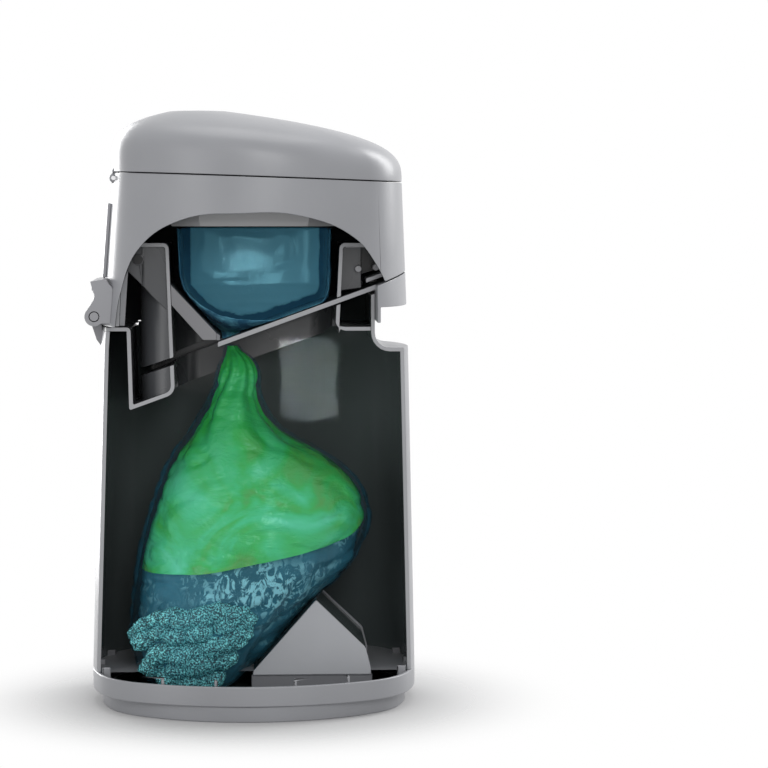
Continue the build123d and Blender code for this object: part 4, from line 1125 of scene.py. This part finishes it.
# %% The film in the throat
FILM_THICKNESS = 0.25
FUNNEL = [(347.6, -56.5, 56.5, 56.5), (338, -56.2, 56.4, 56.3), (326, -55.6, 56.2, 56)]
FUNNEL += [(314, -54.8, 56, 55.7), (305, -52.4, 55.6, 54.6), (298, -48.6, 54.6, 52)]
FUNNEL += [(291, -43.2, 52, 47.5), (285, -38, 46.5, 41), (280, -33.6, 37, 33), (275.5, -29, 22, 22)]
FUNNEL += [(271.8, -24.6, -3, 11), (269.4, -24.2, -12.4, 7.5), (267.0, -24, -13.4, 6.2)]


def jaw_top(x):
    tip = gate_height(JAW_TIP_X, -RUN - 6.0)
    share = (JAW_TIP_X - x) / (JAW_TIP_X - throat_end(-1, JAW_HEEL_TOP, WALL))
    return tip + (JAW_HEEL_TOP - tip) * min(max(share, 0.0), 1.0) if x < JAW_TIP_X else -REACH


def funnel_ring(height, rear, front, half_width, columns):
    half, centre = (front - rear) / 2, (front + rear) / 2
    square = 2 + 2.4 * min(max((height - 275) / 30, 0), 1)
    ring = []
    for i in range(columns):
        turn = 2 * math.pi * i / columns
        c, t = math.cos(turn), math.sin(turn)
        x = centre + half * math.copysign(abs(c) ** (2 / square), c)
        y = half_width * math.copysign(abs(t) ** (2 / square), t)
        lowest = -REACH if height < 270 else max(gate_height(x) + 1.1, jaw_top(x) + 0.9)
        ring.append((x, y, max(height, lowest)))
    return ring


def smoothstep(low, high, value):
    share = min(max((value - low) / (high - low), 0.0), 1.0)
    return share * share * (3 - 2 * share)


def ridges(place, size, seed):
    """Sharp creases: one where noise crosses its middle, falling away on both sides."""
    value = noise.noise(Vector(place) / size + Vector((seed, 2 * seed, 3 * seed)))
    return 1 - min(abs(value) * 3.2, 1)


def between(low, high, share):
    return [a + (b - a) * share for a, b in zip(low, high)]


def funnel_crease(x, y, z):
    """How far the film stands out at a point: long creases above, cross ones near the jaw."""
    upright = 0.9 * ridges((x, y, z * 0.22), 7, 2.0) * smoothstep(318, 345, z)
    shallow = 0.5 * ridges((x, y, z), 21, 5.0)
    return upright + shallow + 0.8 * ridges((x + z, y, z - x), 11, 9.0) * smoothstep(300, 285, z)


def throat_film():
    columns, rows = ((220, 6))
    levels = [between(a, b, i / rows) for a, b in zip(FUNNEL, FUNNEL[1:]) for i in range(rows)]
    levels.append(FUNNEL[-1])
    bm = bmesh.new()
    rings = [loop_of(bm, funnel_ring(*level, columns)) for level in levels]
    for above, below in zip(rings, rings[1:]):
        bmesh.ops.bridge_loops(bm, edges=above + below)
    bmesh.ops.recalc_face_normals(bm, faces=bm.faces)
    for vert in bm.verts:
        x, y, z = vert.co / MM
        hanging = smoothstep(272, 280, z) * smoothstep(347, 338, z)
        if z > gate_height(x) + 1.5:
            vert.co += Vector((-x, -y, 0)).normalized() * funnel_crease(x, y, z) * hanging * MM
    everything = bm.verts[:] + bm.edges[:] + bm.faces[:]
    plane = {"plane_co": (0, CUT_PLANE * MM, 0), "plane_no": (0, -1, 0)}
    bmesh.ops.bisect_plane(bm, geom=everything, clear_outer=True, **plane)
    inner = [v for v in bm.verts if not v.is_boundary]
    axes = {"use_axis_x": True, "use_axis_y": True, "use_axis_z": True}
    bmesh.ops.smooth_vert(bm, verts=inner, factor=0.4, **axes)
    film = to_object(bm, "film")
    modifier = film.modifiers.new("thickness", "SOLIDIFY")
    modifier.thickness, modifier.offset = FILM_THICKNESS * MM, 0
    settle(film)
    mark_painted_glow(film.data)
    film.data.shade_smooth()
    return film


def mark_painted_glow(mesh):
    """An attribute for a painted glow: high on a patch of the far wall's film, away from the corners."""
    layer = mesh.attributes.new("painted_glow", "FLOAT", "POINT")
    for vert, value in zip(mesh.vertices, layer.data):
        x, y, z = vert.co / MM
        low, rear = smoothstep(278, 288, z - 0.36 * x), smoothstep(-50, -44, x - 0.9 * max(0, 305 - z))
        flat = smoothstep(30, 46, y) * low * rear * smoothstep(51, 45, x)
        value.value = flat if y > 0 else 0.25


# %% [markdown]
# The gate is a flat blade with a notch at its rear edge for the gathered film, and a tongue at its
# front that the pull handle is screwed to.

# %% The gate and its handle
TONGUE, TONGUE_HALF_WIDTH, NOTCH_DEPTH, NOTCH_HALF_WIDTH = 12.0, 38.0, 16.0, 12.0
HANDLE_BOTTOM, SKIRT_BOTTOM, SKIRT_THICKNESS = 292.0, 281.0, 2.5
TAB_LENGTH, TAB_REACH = 8.0, 71.6


def gate_plate():
    plate = gate_band(GATE_REAR, HANDLE_BACK, 0, GATE_THICKNESS, CUT_PLANE, GATE_HALF_WIDTH)
    plate = join(plate, gate_band(0, HANDLE_BACK + TONGUE, 0, GATE_THICKNESS, CUT_PLANE, TONGUE_HALF_WIDTH))
    notch_side, notch_end = NOTCH_HALF_WIDTH, GATE_REAR + NOTCH_DEPTH
    plate = cut(plate, block(GATE_REAR - 5, notch_end, -notch_side, notch_side, 0, REACH))
    tab = gate_band(GATE_REAR, GATE_REAR + TAB_LENGTH, 0, GATE_THICKNESS, GATE_HALF_WIDTH - 1, TAB_REACH)
    return soften(join(plate, tab), 0.5)


def pull_handle():
    outer, inner = casing(RIM_TOP - 20, RIM_TOP + 60), casing(RIM_TOP - 21, RIM_TOP + 61, WALL + 1.2)
    skirt_front = HANDLE_BACK + SKIRT_THICKNESS
    body = [(HANDLE_BACK, HANDLE_BOTTOM), (REACH, HANDLE_BOTTOM)]
    body += [(x, gate_height(x)) for x in (REACH, HANDLE_BACK)]
    hollow = [(skirt_front, HANDLE_BOTTOM - 1), (REACH, HANDLE_BOTTOM - 1)]
    hollow += [(x, gate_height(x, GATE_THICKNESS)) for x in (REACH, skirt_front)]
    grip = cut(keep(outer, prism(body)), keep(inner, prism(hollow)))
    skirt = block(HANDLE_BACK, skirt_front, -REACH, REACH, SKIRT_BOTTOM, HANDLE_BOTTOM + 1)
    grip = join(grip, keep(skirt, casing(RIM_TOP - 20, RIM_TOP + 60)))
    tongue = HANDLE_BACK + TONGUE + FIT
    socket = gate_band(0, tongue, -1, GATE_THICKNESS, CUT_PLANE - FIT, TONGUE_HALF_WIDTH + FIT)
    return soften(cut(grip, socket), 0.6, simplify=False, triangles=True)


gate = gate_plate()
# The gate's faces, except the cut ones, get the dark grey: painted shade under the head.
finish_faces(gate, dark_painted_shade, cut=(cut_grey, on_cut))
place(gate, "gate", "gate", "gate_plate")
handle = pull_handle()
finish_faces(handle, casing_grey)
place(handle, "handle", "gate", "pull_handle")

# %% [markdown]
# The lid is a shallow dome that falls towards the front. It is lofted through level outlines that
# close in faster and faster, hollowed the same way, and its rim is trimmed to the slanting seam.

# %% The lid
LID_TOP, LID_WALL, DOME_STEPS = 432.5, 2.6, 28
TOP_REAR, TOP_FRONT, TOP_HALF_WIDTH = SECTIONS[LID_BASE]


def dome(inset, top):
    rings = [[(*p, LID_BASE - 20) for p in plan_points(TOP_REAR, TOP_FRONT, TOP_HALF_WIDTH, inset)]]
    slimness = 2 * TOP_HALF_WIDTH / (TOP_FRONT - TOP_REAR)
    for i in range(DOME_STEPS + 1):
        share = math.sin(math.pi / 2 * i / DOME_STEPS)
        rear, front = TOP_REAR + 41 * share**5.5, TOP_FRONT - 126 * share**3
        half, half_width = (front - rear) / 2, TOP_HALF_WIDTH - 60 * share**4.5
        outline = plan_points(-half, half, half * slimness, inset)
        stretch, centre = half_width / (half * slimness), (front + rear) / 2
        rings.append([(x + centre, y * stretch, LID_BASE + (top - LID_BASE) * share) for x, y in outline])
    return to_object(solid_through(rings), "dome")


def lid_shell():
    shell = cut(dome(0, LID_TOP), dome(LID_WALL, LID_TOP - LID_WALL))
    shell = cut(shell, under_seam(-PARTING_GAP / 2))
    x, z, radius, half = LID_PIN_X, LID_PIN_Z, LID_KNUCKLE_RADIUS, LID_KNUCKLE_HALF
    shell = cut(shell, rod(x, z, radius + RUN, -half - RUN, half + RUN))
    for y in LID_KNUCKLES:
        shell = join(shell, rod(x, z, radius, y - half, y + half))
        shell = join(shell, block(x - 1.2, x + 1.4, y - half, y + half, z, seam_height(x) + 2.5))
    return soften(cut(shell, rod(x, z, LID_PIN_RADIUS + BORE_PLAY, -REACH, REACH)), 0.6)


lid = lid_shell()
finish_faces(lid, casing_grey)
place(lid, "lid", "lid", "lid_shell")

# %% [markdown]
# The waste hangs in a long sleeve of thin blue film, tied off by the gate above. The sleeve is
# narrow and pleated at the neck, full in the middle, and slumps against the wedge at the bottom. Its
# outline is followed from two lines, one for the rear edge and one for the front edge, and every
# wrinkle is pressed inwards from that form, so that the film never leaves its space.

# %% The form of the hanging bag
BAG_REAR = [(-77.9, 9.4), (-85.6, 18.1), (-91.5, 27.7), (-94.3, 39.4), (-95.3, 52.6), (-94.3, 70.3)]
BAG_REAR += [(-91.5, 91.6), (-86.8, 117.3), (-82.7, 136.4), (-76.8, 151.8), (-69.1, 171.7)]
BAG_REAR += [(-60.3, 187.1), (-48.6, 200.3), (-36.8, 223.8), (-27.3, 247.3), (-23.6, 262.5)]
BAG_FRONT = [(-17.0, 9.4), (-5.5, 16.5), (3.0, 25.5), (14.8, 37.2), (30.2, 57.0), (43.5, 72.5)]
BAG_FRONT += [(52.1, 79.1), (66.0, 91.6), (77.8, 105.5), (85.2, 121.0), (88.6, 134.2)]
BAG_FRONT += [(87.5, 144.5), (83.3, 155.5), (75.6, 167.3), (63.8, 177.2), (48.4, 187.1)]
BAG_FRONT += [(34.5, 193.0), (23.4, 200.3), (13.2, 212.1), (7.3, 223.8), (6.6, 242.9), (4.4, 251.0)]
BAG_FRONT += [(-2.1, 255.8), (-11.8, 262.5)]
BAG_DEPTH = [(44, 9.4), (58, 20), (66, 55), (68, 78), (68, 105), (66, 135), (62, 160), (56, 176)]
BAG_DEPTH += [(46, 200), (32, 225), (16, 250), (6, 262.5)]
BAG_LOW, BAG_HIGH, PLEAT_COUNT = 9.6, 262.4, 11


def along(line, height):
    """A line's value at a height, softened over a few millimetres."""
    total = 0.0
    for shift in (-5, -2.5, 0, 2.5, 5):
        z = min(max(height + shift, line[0][1]), line[-1][1])
        for (a, low), (b, high) in zip(line, line[1:]):
            if low <= z <= high:
                total += a + (b - a) * (z - low) / (high - low)
                break
    return total / 5


def bag_ring(height, inset, columns, depth_inset=None, front_inset=None):
    """A level loop round the bag, this far inside its outline."""
    rear = along(BAG_REAR, height) + inset
    front = along(BAG_FRONT, height) - (inset if front_inset is None else front_inset(height))
    half, centre = (front - rear) / 2, (front + rear) / 2
    depth = along(BAG_DEPTH, height) - (inset if depth_inset is None else depth_inset)
    turns = [2 * math.pi * i / columns for i in range(columns)]
    return [(centre + half * math.cos(t), depth * math.sin(t), height) for t in turns]


def film_dent(x, y, z, turn):
    """How far the film is pressed in at a point, in millimetres."""
    neck = smoothstep(150, 235, z)
    wander = 2.4 * noise.noise(Vector((turn, z / 45, 4.0)))
    pleats = (0.5 + 0.5 * math.cos(PLEAT_COUNT * turn + wander)) * (0.4 + 2.0 * neck)
    pleats *= 1 - 0.7 * smoothstep(235, 262, z)
    broad = 2.2 * (0.5 + 0.5 * noise.noise(Vector((x / 42, y / 42, z / 30 + 5))))
    folds = 1.5 * ridges((x, y, 1.9 * z), 34, 7.0)
    crumple = 0.7 * ridges((x, y, z), 9, 11.0) * smoothstep(150, 70, z)
    from_fold = (x - 24.9) * 0.872 - (z - 78.7) * 0.490
    fold = 2.6 * smoothstep(7, 0, abs(from_fold)) * smoothstep(16, 30, z) * smoothstep(100, 78, z) * (y < 0)
    return pleats + broad + folds + crumple + fold


def press_in(bm, scale=1.0):
    """Moves every point of the bag towards its middle line by its dent."""
    for vert in bm.verts:
        x, y, z = vert.co / MM
        centre = (along(BAG_REAR, z) + along(BAG_FRONT, z)) / 2
        turn = math.atan2(y, x - centre)
        reach = math.hypot(x - centre, y)
        if reach < 1e-6:
            continue
        dent = min(film_dent(x, y, z, turn) * scale, 0.35 * reach)
        share = 1 - dent / reach
        vert.co.x, vert.co.y = (centre + (x - centre) * share) * MM, y * share * MM


COLUMNS, ROWS = ((144, 150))
print("bag from", BAG_LOW, "to", BAG_HIGH, "mm,", COLUMNS, "columns and", ROWS, "rows")


def bag_skin(inset, low, high, scale=1.0, **insets):
    heights = [low + (high - low) * i / ROWS for i in range(ROWS + 1)]
    bm = solid_through([bag_ring(z, inset, COLUMNS, **insets) for z in heights])
    press_in(bm, scale)
    return bm


# %% [markdown]
# Film is thin, glossy and slightly cloudy. Over the dark barrel it reads as deep blue, over what it
# holds it only tints. Fine creases come from two layers of stretched noise; where the film is
# crumpled against the litter, bright streaks are painted on as highlights.

# %% Film materials
def two_reliefs(made, shader, coarse, fine):
    """A coarse relief with a fine one over it, each given by its source, depth and strength."""
    relief(made, shader, *fine, after=relief(made, shader, *coarse))


def mixed_color(made, share, color, tint):
    """A colour that turns to a tint by a share."""
    mixed = add_node(made, "MixRGB")
    mixed.inputs["Color2"].default_value = (*tint, 1)
    link(made, share, mixed.inputs["Fac"])
    link(made, color, mixed.inputs["Color1"])
    return mixed.outputs["Color"]


def film_material(name, color, alpha, roughness, painted_glint_color=None):
    made, shader = material(name, color, roughness, alpha=alpha)
    shader.inputs["Specular Tint"].default_value = (0.4, 0.85, 1.0, 1)
    tone = object_noise(made, 26.0, detail=4.0, distortion=0.6)
    low, high = tuple(c * 0.75 for c in color), tuple(min(1, c * 1.3) for c in color)
    tinted = ramp(made, tone, [(0.32, low), (0.68, high)])
    # Painted highlights: a paler colour where fine noise and the crumple attribute meet.
    if painted_glint_color is not None:
        fine = object_noise(made, 120.0, detail=5.0, roughness=0.6, stretch=(1, 1, 0.6), distortion=1.8)
        mask = ramp(made, fine, [(0.50, (0, 0, 0)), (0.57, (1, 1, 1))])
        where = add_node(made, "Attribute")
        where.attribute_name = "crumple"
        amount = add_node(made, "Math", operation="MULTIPLY")
        link(made, mask, amount.inputs[0])
        link(made, where.outputs["Fac"], amount.inputs[1])
        tinted = mixed_color(made, amount.outputs[0], tinted, painted_glint_color)
    link(made, tinted, shader.inputs["Base Color"])
    creases = object_noise(made, 42.0, 5.0, 0.55, stretch=(1, 1, 1.8), distortion=1.2)
    wrinkles = object_noise(made, 210.0, 3.0, stretch=(1, 1, 2.2), distortion=0.8)
    two_reliefs(made, shader, (creases, 0.0016, 0.6), (wrinkles, 0.0003, 0.5))
    return made


outer_film = film_material("outer_film", (0.02, 0.12, 0.19), 0.16, 0.14)
edge_film = film_material("edge_film", (0.02, 0.11, 0.17), 0.66, 0.2)
inner_film = film_material("inner_film", (0.035, 0.15, 0.215), 0.93, 0.3, painted_glint_color=(0.34, 0.80, 0.92))
throat_blue = film_material("throat_blue", (0.05, 0.19, 0.27), 0.62, 0.2)


NECK_GREEN, NECK_LOW, NECK_HIGH = (0.03, 0.46, 0.045), 0.150, 0.205


def green_film():
    """Patches of green from yellow to mint, deeper towards the bag's neck."""
    made, shader = material("green_film", (0.08, 0.55, 0.2), 0.07)
    shader.inputs["Specular Tint"].default_value = (0.55, 1.0, 0.85, 1)
    patches = object_noise(made, 17.0, detail=3.5, stretch=(1, 1, 1.5), distortion=0.9)
    stops = [(0.30, (0.03, 0.36, 0.04)), (0.40, (0.13, 0.46, 0.08)), (0.48, (0.07, 0.60, 0.12))]
    stops += [(0.58, (0.09, 0.72, 0.30)), (0.72, (0.16, 0.86, 0.52))]
    where = add_node(made, "TexCoord")
    split = add_node(made, "SeparateXYZ")
    link(made, where.outputs["Object"], split.inputs[0])
    neck = add_node(made, "MapRange")
    set_inputs(neck, {"From Min": NECK_LOW, "From Max": NECK_HIGH, "To Min": 0.0, "To Max": 0.8})
    link(made, split.outputs["Z"], neck.inputs["Value"])
    greens = mixed_color(made, neck.outputs["Result"], ramp(made, patches, stops), NECK_GREEN)
    link(made, greens, shader.inputs["Base Color"])
    broad = object_noise(made, 26.0, 5.0, 0.6, stretch=(1, 1, 1.6), distortion=1.1)
    fine = object_noise(made, 120.0, 4.0, stretch=(0.6, 1, 1.8), distortion=1.0)
    two_reliefs(made, shader, (broad, 0.0034, 0.75), (fine, 0.0012, 0.7))
    return made


def clump_material():
    """Fine grains from nearly black to pale blue."""
    made, shader = material("litter_clumps", (0.05, 0.16, 0.2), 0.5)
    grains = object_noise(made, 900.0, detail=2.5, roughness=0.6, distortion=0.5)
    stops = [(0.42, (0.008, 0.035, 0.045)), (0.49, (0.03, 0.16, 0.19))]
    stops += [(0.54, (0.12, 0.55, 0.61)), (0.61, (0.30, 0.95, 0.98))]
    link(made, ramp(made, grains, stops), shader.inputs["Base Color"])
    broad = object_noise(made, 170.0, detail=3.0)
    two_reliefs(made, shader, (broad, 0.0022, 0.8), (grains, 0.0012, 0.9))
    return made


load_green, clump_blue = green_film(), clump_material()
print("film finishes", [m.name for m in (outer_film, edge_film, inner_film, throat_blue, load_green)])


def throat_film_material():
    """Painted shade at the corners and a painted glow on a patch of the far wall, where lamps also shine."""
    made, shader = material("throat_film", (0.04, 0.11, 0.16), 0.17, alpha=0.97)
    shader.inputs["Specular Tint"].default_value = (0.35, 0.85, 1.0, 1)
    where = add_node(made, "Attribute")
    where.attribute_name = "painted_glow"
    edge = object_noise(made, 70.0, detail=5.0, roughness=0.65, stretch=(1, 1, 0.35), distortion=0.6)
    wide = add_node(made, "Math", operation="MULTIPLY_ADD")
    link(made, edge, wide.inputs[0])
    wide.inputs[1].default_value = 0.8
    link(made, where.outputs["Fac"], wide.inputs[2])
    stops = [(0.62, (0.03, 0.12, 0.21)), (0.70, (0.08, 0.26, 0.38))]
    stops += [(0.78, (0.14, 0.44, 0.58)), (1.0, (0.18, 0.53, 0.69))]
    link(made, ramp(made, wide.outputs[0], stops), shader.inputs["Base Color"])
    broad = object_noise(made, 34.0, 4.0, stretch=(1, 1, 0.5), distortion=0.8)
    fine = object_noise(made, 240.0, 3.0, stretch=(1, 1, 0.25), distortion=0.7)
    two_reliefs(made, shader, (broad, 0.0010, 0.45), (fine, 0.00022, 0.4))
    return made


throat_sheet = throat_film_material()
tray_grey = moulded_plastic("tray_grey", (0.35, 0.352, 0.36), 0.4)

# %% Placing the tray and its film
tray = film_tray()
finish_faces(tray, tray_grey)
place(tray, "film_tray", "head", "cassette_tray")
pack = pleated_pack()
finish_faces(pack, throat_blue)
place(pack, "pleated_film", "head", "film_pack")
film = throat_film()
film.data.materials.clear()
film.data.materials.append(throat_sheet)
place(film, "hanging_film", "head", "throat_film")

# %% [markdown]
# The bag itself has two skins: the clear outer one, and the cloudy inner one that holds the litter
# in its lower part. Both come from the same form; the inner one is smaller and more crumpled.

# %% The bag
def mark_painted_glints(mesh):
    """An attribute that says where painted highlight streaks go on the inner film: low, towards the wedge,
    and in spots.
    """
    layer = mesh.attributes.new("crumple", "FLOAT", "POINT")
    for vert, value in zip(mesh.vertices, layer.data):
        x, _, z = vert.co / MM
        distance = math.hypot((x - 2) / 56, (z - 88) / 27)
        spots = smoothstep(0.62, 0.75, noise.noise(Vector((x / 14, 3, z / 12))) + 0.5)
        value.value = smoothstep(1.15, 0.25, distance) + 0.35 * spots


LINING_INSET, LINING_TOP, LINING_FOLDS = 6.5, 142.0, 1.15
EDGE_SHARE = 0.94


def lining_front(height):
    """How far the lining's front stays inside the bag's: more where the green load begins."""
    return 1.6 + 5.6 * smoothstep(104, 122, height)


def bag_film():
    """Both skins as one piece. Seen edge on, at its rear and front, the outer one is deeper blue."""
    outer = to_object(bag_skin(0.0, BAG_LOW, BAG_HIGH), "bag_film")
    lining = bag_skin(LINING_INSET, BAG_LOW + 3, LINING_TOP, LINING_FOLDS, front_inset=lining_front)
    inner = to_object(lining, "lining")
    mark_painted_glints(inner.data)
    mark_painted_glints(outer.data)
    for piece, made in ((outer, outer_film), (inner, inner_film)):
        piece.data.materials.append(made)
        piece.data.shade_smooth()
    bm = bmesh.new()
    bm.from_mesh(outer.data)
    bm.from_mesh(inner.data)
    inner_faces = len(inner.data.polygons)
    bm.faces.ensure_lookup_table()
    for face in bm.faces[-inner_faces:]:
        face.material_index = 1
    for face in bm.faces[:-inner_faces]:
        x, _, z = face.calc_center_median() / MM
        rear, front = along(BAG_REAR, z), along(BAG_FRONT, z)
        if abs(x - (front + rear) / 2) > EDGE_SHARE * (front - rear) / 2:
            face.material_index = 2
    bm.to_mesh(outer.data)
    bm.free()
    outer.data.materials.append(inner_film)
    outer.data.materials.append(edge_film)
    bpy.data.objects.remove(inner)
    return outer


bag = bag_film()
place(bag, "bag", "bin", "bag_film")

# %% [markdown]
# Above the fresh litter hangs the older load, in a green inner bag. Its lower edge is a clean
# slanting line that rises to the front.

# %% The green load
LOAD_LOW, LOAD_INSET, LOAD_BACK, LOAD_FOLDS = 88, 5.5, 1.6, 1.1
LOAD_EDGE = [(-200, 92.0), (-86, 97.0), (-60, 98.5), (-34, 100.5), (-12, 105), (15, 110.5)]
LOAD_EDGE += [(38, 115), (58, 120), (73, 126), (82, 136), (200, 240)]


def load_inset(height):
    """How far the load stays inside the bag: less at the neck."""
    return LOAD_INSET - 3.5 * smoothstep(200, 262, height)


def green_load():
    heights = [LOAD_LOW + (BAG_HIGH - 1 - LOAD_LOW) * i / ROWS for i in range(ROWS + 1)]
    form = solid_through([bag_ring(z, load_inset(z), COLUMNS, LOAD_BACK) for z in heights])
    press_in(form, LOAD_FOLDS)
    load = to_object(form, "load")
    above = prism(smooth_line(LOAD_EDGE, 4) + [(200, REACH), (-200, REACH)])
    return keep(load, above)


load = green_load()
load.data.shade_smooth()
load.data.set_sharp_from_angle(angle=math.radians(60))
load.data.materials.clear()
load.data.materials.append(load_green)
place(load, "green_load", "bin", "soiled_load")

# %% [markdown]
# Used litter sticks together in lumps the size of a plum, each a crust of fine grains. They lie
# between the two skins of the bag, pressed against its near side. Every lump is a finely divided
# ball, made uneven by noise, drawn out lengthwise, tilted a little and flattened against the film.

# %% The litter
CLUMPS = [(-70, 66, 6), (-60, 68, 7), (-49, 66, 8), (-38, 69, 8), (-27, 72, 8), (-16, 70, 8)]
CLUMPS += [(-9, 65, 7), (-80, 60, 6), (-79, 49, 8), (-84, 54, 6), (-56, 54, 7), (-73, 31, 8)]
CLUMPS += [(-61, 43, 8), (-60, 24, 8), (-48, 40, 10), (-39, 34, 10), (-30, 47, 9), (-19, 51, 9)]
CLUMPS += [(-13, 56, 8), (-35, 22, 9), (-24, 37, 8), (-46, 20, 8), (-68, 40, 8), (-54, 30, 8)]
CLUMPS += [(-68, 56, 6), (-40, 57, 7), (-22, 62, 6)]


CLUMP_FLAT, CLUMP_LONG, CLUMP_TILT = 0.62, 1.5, 0.16


def clump_ball(x, z, radius, seed):
    """One lump, pressed against the near side of the bag at x and z."""
    rear, front = along(BAG_REAR, z), along(BAG_FRONT, z)
    centre, half, depth = (rear + front) / 2, (front - rear) / 2, along(BAG_DEPTH, z)
    share = max(1 - ((x - centre) / half) ** 2, 0.02)
    y = -depth * math.sqrt(share) + 4.6 + CLUMP_FLAT * radius
    bm = bmesh.new()
    bmesh.ops.create_icosphere(bm, subdivisions=4, radius=radius * MM)
    for vert in bm.verts:
        direction = vert.co.normalized()
        lump = 0.16 * noise.noise(direction * 2.2 + Vector((seed, 0, 0))) + 0.05 * noise.noise(direction * 9)
        vert.co *= 1 + lump
        vert.co.y *= CLUMP_FLAT
        vert.co.x *= CLUMP_LONG
        vert.co.z += CLUMP_TILT * vert.co.x
    bmesh.ops.translate(bm, verts=bm.verts, vec=Vector((x, y, z)) * MM)
    return bm


def litter():
    heap = bmesh.new()
    for seed, (x, z, radius) in enumerate(CLUMPS):
        ball = clump_ball(x, z, radius, 3.7 * seed)
        mesh = bpy.data.meshes.new("clump")
        ball.to_mesh(mesh)
        ball.free()
        heap.from_mesh(mesh)
        bpy.data.meshes.remove(mesh)
    return to_object(heap, "litter")


heap = litter()
heap.data.shade_smooth()
heap.data.materials.append(clump_blue)
place(heap, "litter", "bin", "litter_heap")

# %% [markdown]
# The small parts that the frame already has in their right shape only need their finish.

# %% Finishes of the small parts
FINISHES = {
    "hinge_lug": hinge_grey,
    "strap_screws": hinge_grey,
    "front_pegs": hinge_grey,
    "boss_screw": soft_black,
    # The jaw's lip, the gate's rail and the head's deck get darker greys: painted shade.
    "jaw_lip": mid_painted_shade,
    "gate_rail": dark_painted_shade,
    "gate_spring": bright_steel,
    "handle_screws": bright_steel,
    "lid_pin": bright_steel,
    "lid_gasket": soft_black,
    "head_deck": dark_painted_shade,
}
for node, made in FINISHES.items():
    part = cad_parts[node]
    part.data.materials.clear()
    part.data.materials.append(made)
left_over = [node for node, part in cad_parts.items() if not part.hide_render and node not in FINISHES]
print("finished", sorted(FINISHES), "left over", left_over)
